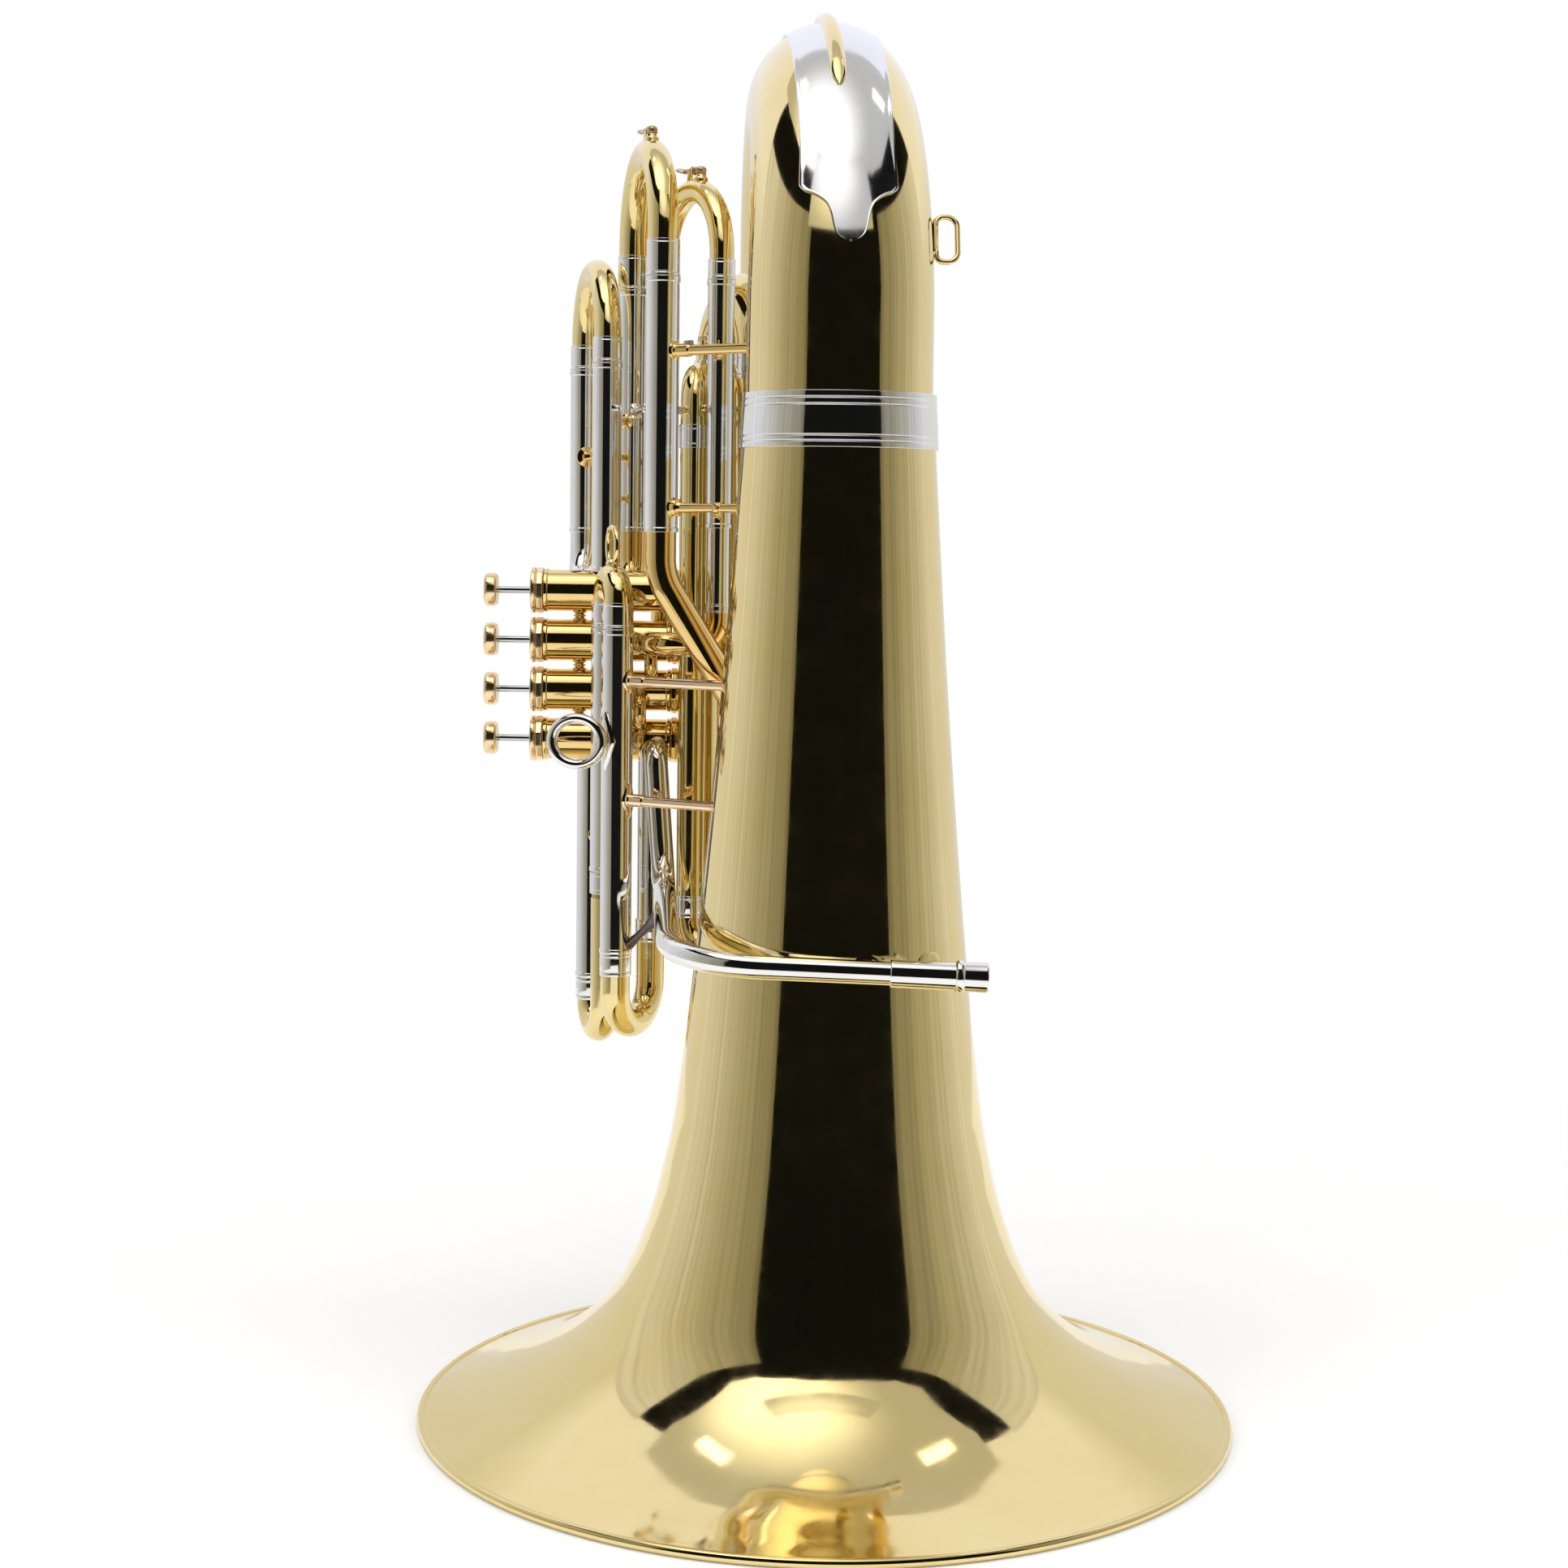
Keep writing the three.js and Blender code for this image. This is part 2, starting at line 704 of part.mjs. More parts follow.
// The narrow tube that climbs behind the bell, turns over and comes down again
function smallLoop() {
  const lowRadius = thirdAxis.distanceTo(loopRear) / 2;
  const topRadius = loopRear.distanceTo(loopFront) / 2;
  const lowCorner = smallBowHeight - lowRadius;
  const topCorner = loopTopHeight + topRadius;
  const points = [
    atHeight(thirdAxis, smallBowHeight), atHeight(thirdAxis, lowCorner), atHeight(loopRear, lowCorner),
    atHeight(loopRear, topCorner), atHeight(loopFront, topCorner), atHeight(loopFront, feedBowHeight + fit),
  ];
  const route = new Route(points, [lowRadius, lowRadius, topRadius, topRadius]);
  const bowEnd = halfTurn * lowRadius;
  const topStart = bowEnd + loopTopHeight - smallBowHeight;
  const topEnd = topStart + halfTurn * topRadius;
  const bore = loopFrontRadius - wall;
  const marks = [
    [0, thirdBranchEndRadius, thirdBranchEndRadius - wall],
    [bowEnd, loopRearRadius + wall, loopRearRadius],
    [topStart, loopFrontRadius, bore],
    ...ferruleMarks(topEnd + branchFerruleLength, topEnd + 2 * branchFerruleLength, loopFrontRadius, bore),
    ...ferruleMarks(route.length - branchFerruleLength, route.length, loopFrontRadius, bore),
  ];
  return tube(route, marks, { first: between(thirdAxis, loopRear) });
}

// The tube from the small loop up to the main slide's near sleeve
function feedTube() {
  const lowRadius = loopFront.distanceTo(feedAxis) / 2;
  const lowCorner = feedBowHeight - lowRadius;
  const points = [
    atHeight(loopFront, feedBowHeight), atHeight(loopFront, lowCorner), atHeight(feedAxis, lowCorner),
    atHeight(feedAxis, feedCornerLow), atHeight(mainNear, feedCornerHigh),
    atHeight(mainNear, mainSleeveEnd - fit),
  ];
  const route = new Route(points, [lowRadius, lowRadius, feedBendRadius, feedBendRadius]);
  const marks = [
    [0, loopFrontRadius, loopFrontRadius - wall],
    [halfTurn * lowRadius, feedRadius, feedRadius - wall],
    [route.length, mainSleeveRadius - ferruleRise, mainSleeveRadius - ferruleRise - wall],
  ];
  return tube(route, marks, { first: between(loopFront, feedAxis) });
}

place('small_loop', smallLoop(), brass);
place('feed_tube', feedTube(), deepBrass);

// Places of the valve row

const valveZ = (number) => valveFirstZ + valvePitch * (number - 1);
const portReach = casingRadius + portLift;
const portFrontY = valveY - portReach;
const portRearY = valveY + portReach;
const portTopZ = valveZ(valveCount) + portReach;
const portLowZ = valveFirstZ - portReach;

// Slides: a moving bow with two legs, and the sleeves that they run in

const legRadius = (sleeveRadius) => sleeveRadius - wall - slideGap;
const slideBowRadius = (sleeveRadius) => sleeveRadius - ferruleRise;

// Marks of one leg and its ferrule, from the leg's open end to the bow
function legMarks(sleeveRadius, legLength, ferrule) {
  const leg = legRadius(sleeveRadius);
  const bowRadius = slideBowRadius(sleeveRadius);
  const bore = leg - wall;
  return [
    [0, leg, bore], [legLength, leg, bore], [legLength + chamfer, sleeveRadius, bore],
    [legLength + ferrule - chamfer, sleeveRadius, bore], [legLength + ferrule, bowRadius, bore],
  ];
}

const reversed = (marks, length) => marks.map(([s, ...radii]) => [length - s, ...radii]).reverse();

function slideMarks(route, sleeveRadius, legA, ferruleA, legB = legA, ferruleB = ferruleA) {
  return [
    ...legMarks(sleeveRadius, legA, ferruleA),
    ...reversed(legMarks(sleeveRadius, legB, ferruleB), route.length),
  ];
}

function upperSlide(a, b, bowHeight, sleeveRadius, legLength, ferrule) {
  const legEnd = bowHeight - ferrule - legLength;
  const route = uRoute(a, b, bowHeight, 1, legEnd, legEnd);
  return tube(route, slideMarks(route, sleeveRadius, legLength, ferrule), { first: between(a, b) });
}

// A sleeve's marks: a ring at its mouth, and one where the plain tube follows
function sleeveMarks(radius, sleeveLength, totalLength, tubeRadius = radius) {
  const bore = radius - wall;
  const tubeBore = tubeRadius - wall;
  const mouth = radius + wall / 2;
  const ring = [[0, mouth, bore], [sleeveRingLength, mouth, bore]];
  const marks = [...ring, [sleeveRingLength + chamfer, radius, bore]];
  if (sleeveLength >= totalLength) return [...marks, [totalLength, radius, bore]];
  const tail = [[sleeveLength + chamfer, tubeRadius, tubeBore], [totalLength, tubeRadius, tubeBore]];
  return [...marks, [sleeveLength, radius, bore], ...tail];
}

const solidPost = (axis, radius, low, high) =>
  solidTurned([[low, radius], [high, radius]], axis, up, bowSides);
const clearPost = (axis, radius, low, high) =>
  solidPost(axis, (radius + fit) / apothem(bowSides), low, high);

// Main tuning slide

const mainMouth = mainBowHeight - ferruleLength - fit;
const mainPlane = between(mainNear, mainFar);

// A water key sits on the crown of a slide's bow: a seat with a nipple and a
// pinned post belong to the bow, and the lever turns on the pin
function waterKey(a, b, bowHeight, bowRadius) {
  const along = between(a, b);
  const crossways = along.clone().cross(up);
  const arc = a.distanceTo(b) / 2;
  const crown = bowHeight + arc + bowRadius;
  const middle = a.clone().add(b).multiplyScalar(1 / 2);
  const pin = at(middle.x, middle.y, crown + keyPostHeight - keyPinRadius * 2);
  const seat = shifted(at(middle.x, middle.y, crown), along, -keyLeverLength * keySeatShare);
  return { along, crossways, crown, middle, pin, seat };
}

// A box given by its centre and half sizes along three square directions
function block(centre, along, across, upward, length, width, height) {
  const geometry = new THREE.BoxGeometry(length, width, height);
  geometry.applyMatrix4(new THREE.Matrix4().makeBasis(along, across, upward));
  geometry.translate(centre.x, centre.y, centre.z);
  return geometry;
}

// The post's two ears with the pin between them, and the nipple under the cup
function keySeatParts(key) {
  const postGap = keyLeverWidth / 2 + fit;
  const postMiddle = key.crown + (keyPostHeight - cutOverrun) / 2;
  const parts = [-1, 1].map((side) => {
    const reach = side * (postGap + keyPostThickness / 2);
    const centre = shifted(atHeight(key.middle, postMiddle), key.crossways, reach);
    const sideways = key.crossways.clone().negate();
    const height = keyPostHeight + cutOverrun;
    return block(centre, key.along, sideways, up, keySeatRadius * 2, keyPostThickness, height);
  });
  const pinHalf = postGap + keyPostThickness;
  const pinEnds = [-pinHalf, pinHalf].map((reach) => shifted(key.pin, key.crossways, reach));
  parts.push(rod(...pinEnds, keyPinRadius));
  const seatTop = shifted(key.seat, up, keySeatHeight - keySeatDrop);
  parts.push(rod(shifted(key.seat, down, cutOverrun), seatTop, keySeatRadius));
  return parts;
}

// The lever: a bar on a hub, the cup over the nipple, and a tilted thumb plate
function keyLever(key) {
  const sideways = key.crossways.clone().negate();
  const reach = keyLeverLength / 2;
  const bar = block(key.pin, key.along, sideways, up, keyLeverLength, keyLeverWidth, keyLeverThickness);
  const hub = rod(
    shifted(key.pin, key.crossways, -keyLeverWidth / 2), shifted(key.pin, key.crossways, keyLeverWidth / 2),
    keyPinRadius + keyLeverThickness,
  );
  const seatTop = key.crown + keySeatHeight - keySeatDrop + fit;
  const cup = rod(at(key.seat.x, key.seat.y, seatTop), at(key.seat.x, key.seat.y, key.pin.z), keySeatRadius);
  const plateDirection = up.clone().applyAxisAngle(key.crossways, keyPlateTiltDegrees * degrees);
  const plateCentre = shifted(shifted(key.pin, key.along, reach), up, keyPlateRise / 2);
  const half = keyLeverThickness / 2;
  const plateEnds = [-half, half].map((reach) => shifted(plateCentre, plateDirection, reach));
  const plate = rod(...plateEnds, keyPlateLength / 2);
  const bore = rod(
    shifted(key.pin, key.crossways, -keyLeverWidth), shifted(key.pin, key.crossways, keyLeverWidth),
    keyPinRadius + fit,
  );
  return cut(join(bar, hub, cup, plate), bore);
}

const mainKey = waterKey(mainNear, mainFar, mainBowHeight, slideBowRadius(mainSleeveRadius));
const mainSlide = upperSlide(
  mainNear, mainFar, mainBowHeight, mainSleeveRadius, mainLegLength, ferruleLength,
);
place('main_slide', join(mainSlide, ...keySeatParts(mainKey)), brass);
place('water_key_main', keyLever(mainKey), brass);

function mainSleeveNear() {
  const route = new Route([atHeight(mainNear, mainMouth), atHeight(mainNear, mainSleeveEnd)]);
  return tube(route, sleeveMarks(mainSleeveRadius, route.length, route.length), { first: mainPlane });
}

const fourthNear = at(fourthNearX, valveY, 0);
const fourthFar = at(fourthFarX, fourthFarY, 0);
const slidePostZ = (mainSleeveEnd + mainMouth) / 2;

function mainSleeveFar() {
  const turnZ = valveZ(valveCount);
  const end = portRearY + fit;
  const points = [atHeight(mainFar, mainMouth), atHeight(mainFar, turnZ), at(mainFar.x, end, turnZ)];
  const route = new Route(points, mainFarY - end - fit);
  const marks = sleeveMarks(mainSleeveRadius, mainMouth - mainSleeveEnd, route.length, mainFarTubeRadius);
  const post = rod(atHeight(mainFar, slidePostZ), atHeight(fourthNear, slidePostZ), postRadius);
  const inside = solidPost(mainFar, mainSleeveRadius - wall / 2, mainSleeveEnd, mainMouth);
  const clear = clearPost(fourthNear, fourthSleeveRadius, mainSleeveEnd, mainMouth);
  return join(tube(route, marks, { first: mainPlane }), cut(post, inside, clear));
}

place('main_sleeve_near', mainSleeveNear(), nickel);
place('main_sleeve_far', mainSleeveFar(), nickel);

// Slide of the fourth valve

const fourthPlane = between(fourthNear, fourthFar);
const fourthMouth = fourthBowHeight - shortFerruleLength - fit;
const fourthSlide = upperSlide(
  fourthNear, fourthFar, fourthBowHeight, fourthSleeveRadius, fourthLegLength, shortFerruleLength,
);
place('fourth_slide', fourthSlide, brass);

function fourthSleeveNear() {
  const route = new Route([atHeight(fourthNear, fourthMouth), atHeight(fourthNear, portTopZ + fit)]);
  return tube(route, sleeveMarks(fourthSleeveRadius, route.length, route.length), { first: fourthPlane });
}

function fourthSleeveFar() {
  const turnZ = valveZ(valveCount);
  const points = [
    atHeight(fourthFar, fourthMouth), atHeight(fourthFar, turnZ), at(fourthFar.x, portRearY + fit, turnZ),
  ];
  const route = new Route(points, fourthBendRadius);
  const marks = evenMarks(route.length, fourthSleeveRadius);
  const postZ = turnZ + (fourthMouth - turnZ) / 2;
  const post = rod(atHeight(fourthFar, postZ), atHeight(fourthNear, postZ), postRadius);
  const reach = fourthNear.distanceTo(fourthFar) - fourthSleeveRadius;
  const flangeFrom = shifted(atHeight(fourthFar, postZ), fourthPlane, -reach);
  const flange = rod(flangeFrom, shifted(flangeFrom, fourthPlane, braceFlangeLength), braceFlangeRadius);
  const inside = solidPost(fourthFar, fourthSleeveRadius - wall / 2, turnZ, fourthMouth);
  const clear = clearPost(fourthNear, fourthSleeveRadius, turnZ, fourthMouth);
  return join(tube(route, marks, { first: fourthPlane }), cut(join(post, flange), inside, clear));
}

place('fourth_sleeve_near', fourthSleeveNear(), nickel);
place('fourth_sleeve_far', fourthSleeveFar(), nickel);

// Slide of the third valve

const thirdRight = at(thirdRightX, thirdRightY, 0);
const thirdLeft = at(thirdLeftX, thirdLeftY, 0);
const thirdPlane = between(thirdRight, thirdLeft);
const thirdMouth = thirdBowHeight - shortFerruleLength - fit;
const thirdZ = valveZ(3);
const thirdKey = waterKey(thirdRight, thirdLeft, thirdBowHeight, slideBowRadius(thirdSleeveRadius));
const thirdSlide = upperSlide(
  thirdRight, thirdLeft, thirdBowHeight, thirdSleeveRadius, thirdLegLength, shortFerruleLength,
);
place('third_slide', join(thirdSlide, ...keySeatParts(thirdKey)), brass);
place('water_key_third', keyLever(thirdKey), brass);

function thirdSleeve(points, bends) {
  const route = new Route(points, bends);
  const marks = sleeveMarks(thirdSleeveRadius, thirdMouth - thirdSleeveEnd, route.length, thirdKnuckleRadius);
  return tube(route, marks, { first: thirdPlane });
}

const thirdSleeveRight = thirdSleeve([
  atHeight(thirdRight, thirdMouth), atHeight(thirdRight, thirdZ), at(thirdPortX, thirdRight.y, thirdZ),
  at(thirdPortX, portFrontY - fit, thirdZ),
], thirdBendRadius);
const thirdSleeveLeft = thirdSleeve([
  atHeight(thirdLeft, thirdMouth), atHeight(thirdLeft, thirdZ), at(thirdLeft.x, portRearY + fit, thirdZ),
], portBendRadius);
place('third_sleeve_right', thirdSleeveRight, nickel);
place('third_sleeve_left', thirdSleeveLeft, nickel);

// Slides of the first valve: bow with pull ring above, fixed bow and slide below

const firstFront = at(firstFrontX, firstFrontY, 0);
const firstMiddle = at(firstMiddleX, firstMiddleY, 0);
const firstLeft = at(firstLeftX, firstLeftY, 0);
const firstRight = at(firstRightX, firstRightY, 0);
const firstMouth = firstTopHeight - shortFerruleLength - fit;
// The legs of both slides share the room in the middle sleeve
const firstMiddleRoom = firstMouth - firstMiddleEnd;
const firstTopLegLength = firstMiddleRoom * firstTopLegShare;
const firstLowLegLength = firstMiddleRoom * firstLowLegShare;
const firstTopPlane = between(firstFront, firstMiddle);
const firstLowPlane = between(firstMiddle, firstLeft);
const firstFixedPlane = between(firstFront, firstRight);
const firstBowRadius = slideBowRadius(firstSleeveRadius);

function ringGeometry(centre, axis, radius, wire) {
  const profile = [];
  for (let k = 0; k < rodSides; k += 1) {
    const turn = (2 * halfTurn * k) / rodSides;
    profile.push([wire * Math.sin(turn), radius + wire * Math.cos(turn)]);
  }
  return turned(profile, centre, axis, branchSides);
}

function firstSlide() {
  const bowPart = upperSlide(
    firstFront, firstMiddle, firstTopHeight, firstSleeveRadius, firstTopLegLength, shortFerruleLength,
  );
  const arc = firstFront.distanceTo(firstMiddle) / 2;
  const middle = firstFront.clone().add(firstMiddle).multiplyScalar(1 / 2);
  const ringZ = firstTopHeight + arc + firstBowRadius + pullRingRadius - pullRingWire / 2;
  const axis = firstTopPlane.clone().cross(up);
  return join(bowPart, ringGeometry(atHeight(middle, ringZ), axis, pullRingRadius, pullRingWire));
}

function plainSleeve(axis, fromZ, toZ, first) {
  const route = new Route([atHeight(axis, fromZ), atHeight(axis, toZ)]);
  return tube(route, sleeveMarks(firstSleeveRadius, route.length, route.length), { first });
}

function firstLowSlide() {
  const endMiddle = firstMiddleEnd + firstLowLegLength;
  const endLeft = firstLeftEnd + firstLowLegLength;
  const route = uRoute(firstMiddle, firstLeft, firstLowBowHeight, -1, endMiddle, endLeft);
  const ferrule = firstLeftEnd - firstLowBowHeight;
  const marks = slideMarks(route, firstSleeveRadius, firstLowLegLength + fit, ferrule);
  return tube(route, marks, { first: firstLowPlane });
}

function firstFixedBow() {
  const route = uRoute(firstFront, firstRight, firstFixedBowHeight, -1, firstFrontEnd - fit, portLowZ - fit);
  const bore = firstBowRadius - wall;
  const ringEnd = route.length - (portLowZ - firstRightEnd);
  const marks = [
    ...ferruleMarks(0, branchFerruleLength, firstBowRadius, bore),
    ...ferruleMarks(ringEnd - branchFerruleLength, ringEnd, firstBowRadius, bore),
    [route.length, firstBowRadius, bore],
  ];
  return tube(route, marks, { first: firstFixedPlane });
}

function firstSleeveLeft() {
  const sleeve = plainSleeve(firstLeft, firstLeftEnd + fit, portLowZ - fit, firstLowPlane);
  const postZ = firstMiddleEnd + braceFlangeRadius + sleeveRingLength;
  const post = rod(atHeight(firstLeft, postZ), atHeight(firstMiddle, postZ), postRadius);
  const inside = solidPost(firstLeft, firstSleeveRadius - wall / 2, firstLeftEnd, portLowZ);
  const clear = clearPost(firstMiddle, firstSleeveRadius, firstLeftEnd, portLowZ);
  return join(sleeve, cut(post, inside, clear));
}

place('first_slide', firstSlide(), brass);
place('first_sleeve_front', plainSleeve(firstFront, firstMouth, firstFrontEnd, firstTopPlane), nickel);
place('first_sleeve_middle', plainSleeve(firstMiddle, firstMouth, firstMiddleEnd, firstTopPlane), nickel);
place('first_low_slide', firstLowSlide(), brass);
place('first_fixed_bow', firstFixedBow(), brass);
place('first_sleeve_left', firstSleeveLeft(), nickel);

// Leadpipe and receiver

const leadPortY = firstRightY - firstBowRadius - 2 * fit;
const pipeStart = at(leadpipeX, leadPortY - fit, leadpipeTop);
const pipeTurn = at(leadpipeTurnX, leadpipeFrontY, leadpipeFrontZ);
const receiverEnd = at(receiverEndX, leadpipeFrontY, receiverEndZ);
const pipeDirection = between(pipeTurn, receiverEnd);
const onPipe = (x) => shifted(pipeTurn, pipeDirection, (x - leadpipeTurnX) / pipeDirection.x);

// The bell's outside, grown by a clearance, for pieces that end on the bell
function bellEnvelope(growth) {
  const profile = bellOutline.getPoints(bellStations).map((p) => [p.y, p.x + growth]);
  return solidTurned(profile, bellAxis, up, roundSides);
}

// A plate from the pipe back to the bell
function bracketToBell(x, pipeRadius) {
  const from = onPipe(x);
  const centre = at(x, from.y / 2, from.z);
  const depth = Math.abs(from.y);
  const plate = block(centre, towardsRight, towardsRear, up, bracketWidth, depth, bracketThickness);
  const hollow = rod(onPipe(x - bracketWidth), onPipe(x + bracketWidth), pipeRadius - wall / 2, tubeSides);
  return cut(plate, bellEnvelope(fit), hollow);
}

function leadpipe() {
  const points = [
    pipeStart, at(leadpipeX, leadpipeY, leadpipeTop), at(leadpipeLowX, leadpipeY, leadpipeLow), pipeTurn,
    onPipe(leadpipeEndX + receiverOverlap),
  ];
  const route = new Route(points, [leadpipeCornerRadius, leadpipeTurnRadius, leadpipeFrontRadius]);
  const marks = [
    [0, leadpipeValveRadius, leadpipeValveRadius - wall],
    [route.length, leadpipeSmallRadius, leadpipeSmallRadius - wall],
  ];
  return join(tube(route, marks), bracketToBell(bracketX, leadpipeSmallRadius));
}

function receiver() {
  const length = onPipe(leadpipeEndX).distanceTo(receiverEnd);
  const socket = (leadpipeSmallRadius + fit) / apothem(tubeSides);
  const ringFrom = length - receiverRingLength;
  const profile = [
    [0, socket], [receiverOverlap + fit, socket], [receiverOverlap + fit + chamfer, receiverBore],
    [length, receiverBore + chamfer], [length, receiverRingRadius],
    [ringFrom + receiverBeadLength, receiverRingRadius], [ringFrom + receiverBeadLength, receiverRadius],
    [ringFrom + receiverBeadLength - chamfer, receiverRadius], [ringFrom + chamfer, receiverRingRadius],
    [ringFrom, receiverRadius], [chamfer, receiverRadius], [0, socket + chamfer / 2],
  ];
  const body = turned(profile, onPipe(leadpipeEndX), pipeDirection, branchSides);
  return join(body, bracketToBell(receiverBracketX, receiverRadius));
}

place('leadpipe', leadpipe(), nickel);
place('mouthpiece_receiver', receiver(), nickel);

// Valves

// A stub of tube from the middle of a casing outwards
function portTube(x, z, direction, radius, reach = portReach) {
  const axis = at(x, valveY, z);
  const body = rod(axis, shifted(axis, direction, reach), radius, tubeSides);
  return { body, axis, direction, radius, reach };
}

function offsetPort(port, offset) {
  port.axis.add(offset);
  port.body.translate(offset.x, offset.y, offset.z);
  return port;
}

function portsOf(number) {
  const z = valveZ(number);
  if (number === 1) {
    const left = portTube(firstLeftX, z, down, firstSleeveRadius - wall);
    const right = portTube(firstRightX, z, down, firstBowRadius);
    const lead = portTube(leadpipeX, z, towardsFront, leadpipeValveRadius, valveY - leadPortY);
    return [
      offsetPort(left, at(0, firstLeftY - valveY, 0)), offsetPort(right, at(0, firstRightY - valveY, 0)),
      offsetPort(lead, at(0, 0, leadpipeTop - z)),
    ];
  }
  if (number === 2) {
    const reach = casingRadius + secondSleeveLength;
    return [secondRightX, secondLeftX].map((x) => portTube(x, z, towardsRear, secondSleeveRadius, reach));
  }
  if (number === 3) {
    return [
      portTube(thirdPortX, z, towardsFront, thirdKnuckleRadius),
      portTube(thirdLeftX, z, towardsRear, thirdKnuckleRadius),
    ];
  }
  return [
    portTube(fourthNearX, z, up, fourthSleeveRadius),
    portTube(fourthFarX, z, towardsRear, fourthSleeveRadius),
    portTube(mainFarX, z, towardsRear, mainFarTubeRadius),
  ];
}

// A casing with its ports, and the links to the casing above it
function casing(number) {
  const z = valveZ(number);
  const base = at(valveBaseX, valveY, z);
  const bore = casingRadius - casingWall;
  const shell = rod(base, shifted(base, towardsPlayer, casingLength), casingRadius, tubeSides);
  const along = (start, radius) => rod(
    shifted(start, towardsPlayer, -cutOverrun), shifted(start, towardsPlayer, casingLength + cutOverrun),
    radius, tubeSides,
  );
  const ports = portsOf(number);
  const links = [];
  const clears = [];
  if (number < valveCount) {
    for (const [x, radius] of [[crossoverX, crossoverRadius], [balusterX, balusterRadius]]) {
      links.push(rod(at(x, valveY, z), at(x, valveY, z + valvePitch), radius));
    }
    const next = at(valveBaseX, valveY, z + valvePitch);
    clears.push(along(next, casingRadius + fit / apothem(tubeSides)));
  }
  const bores = ports.map((port) => rod(
    port.axis, shifted(port.axis, port.direction, port.reach + cutOverrun), port.radius - wall, tubeSides,
  ));
  const body = join(shell, ...ports.map((port) => port.body), ...links);
  return cut(body, along(base, bore), ...bores, ...clears);
}

function topCap(base) {
  const low = casingLength + fit;
  const high = casingLength + topCapLength;
  const inside = casingRadius - casingWall - fit;
  const hole = stemRadius + stemHoleGap;
  const profile = [
    [high, hole], [high, capRadius - chamfer], [high - chamfer, capRadius], [low, capRadius], [low, inside],
    [casingLength - capSpigot, inside], [casingLength - capSpigot, inside - wall],
    [high - capWall, inside - wall], [high - capWall, hole],
  ];
  return turned(profile, base, towardsPlayer);
}

function bottomCap(base) {
  const inside = casingRadius - casingWall - fit;
  const profile = [
    [-bottomCapLength, ventRadius], [-bottomCapLength, casingRadius], [-bottomCapLength + chamfer, capRadius],
    [-fit, capRadius], [-fit, inside], [capSpigot, inside], [capSpigot, inside - wall],
    [-bottomCapLength + capWall, inside - wall], [-bottomCapLength + capWall, ventRadius],
  ];
  return turned(profile, base, towardsPlayer);
}

const pistonTop = casingLength - capSpigot - pistonTopGap;
const pistonBottom = pistonTop - pistonLength;
const buttonBottom = casingLength + topCapLength + stemShown;

function piston(base) {
  const radius = casingRadius - casingWall - fit;
  const top = buttonBottom + buttonThickness;
  const body = solidTurned([
    [pistonBottom, radius], [pistonTop, radius], [pistonTop, stemRadius], [buttonBottom, stemRadius],
    [buttonBottom, buttonRadius - 2 * chamfer], [buttonBottom + 2 * chamfer, buttonRadius],
    [top - 2 * chamfer, buttonRadius], [top, buttonRadius - 2 * chamfer],
  ], base, towardsPlayer, tubeSides);
  const portAxis = shifted(base, towardsPlayer, (pistonBottom + pistonTop) / 2);
  const portEnds = [towardsFront, towardsRear].map((way) => shifted(portAxis, way, casingRadius));
  const port = rod(...portEnds, pistonPortRadius);
  return cut(body, port);
}

function spring(base) {
  const low = -bottomCapLength + capWall + fit;
  const high = pistonBottom - fit;
  const profile = [
    [low, springRadius - springWire], [low, springRadius],
    [high, springRadius], [high, springRadius - springWire],
  ];
  return turned(profile, base, towardsPlayer);
}

for (let number = 1; number <= valveCount; number += 1) {
  const base = at(valveBaseX, valveY, valveZ(number));
  place(`valve_${number}_casing`, casing(number), deepBrass);
  place(`valve_${number}_top_cap`, topCap(base), deepBrass);
  place(`valve_${number}_bottom_cap`, bottomCap(base), deepBrass);
  place(`valve_${number}_piston`, piston(base), steel);
  place(`valve_${number}_spring`, spring(base), steel);
}

// Slide of the second valve, behind its casing

function secondSlide() {
  const z = valveZ(2);
  const mouth = valveY + casingRadius + secondSleeveLength;
  const start = mouth - secondLegLength;
  const radius = (secondRightX - secondLeftX) / 2;
  const corner = mouth + fit + shortFerruleLength + radius;
  const points = [
    at(secondRightX, start, z), at(secondRightX, corner, z),
    at(secondLeftX, corner, z), at(secondLeftX, start, z),
  ];
  const route = new Route(points, radius);
  const marks = slideMarks(route, secondSleeveRadius, secondLegLength + fit, shortFerruleLength);
  return tube(route, marks, { first: towardsRight });
}

place('second_slide', secondSlide(), brass);

// Thumb ring and strap ring

function thumbRing() {
  const sleeve = firstSleeveRadius + wall / 2 + fit;
  const outer = sleeve + thumbSaddleThickness;
  const low = thumbRingZ - thumbSaddleHalf;
  const high = thumbRingZ + thumbSaddleHalf;
  const profile = [[low, sleeve], [high, sleeve], [high, outer], [low, outer]];
  const collar = turned(profile, firstFront, up, bowSides);
  const behind = block(
    at(firstFrontX, firstFrontY + outer, thumbRingZ), towardsRight, towardsRear, up,
    4 * outer, 2 * outer + firstSleeveRadius, 4 * thumbSaddleHalf,
  );
  const y = firstFrontY - outer;
  const x = firstFrontX - thumbRingRadius - firstSleeveRadius + thumbRingWire;
  const ring = ringGeometry(at(x, y, thumbRingZ), towardsRear, thumbRingRadius, thumbRingWire);
  return join(cut(collar, behind), ring);
}

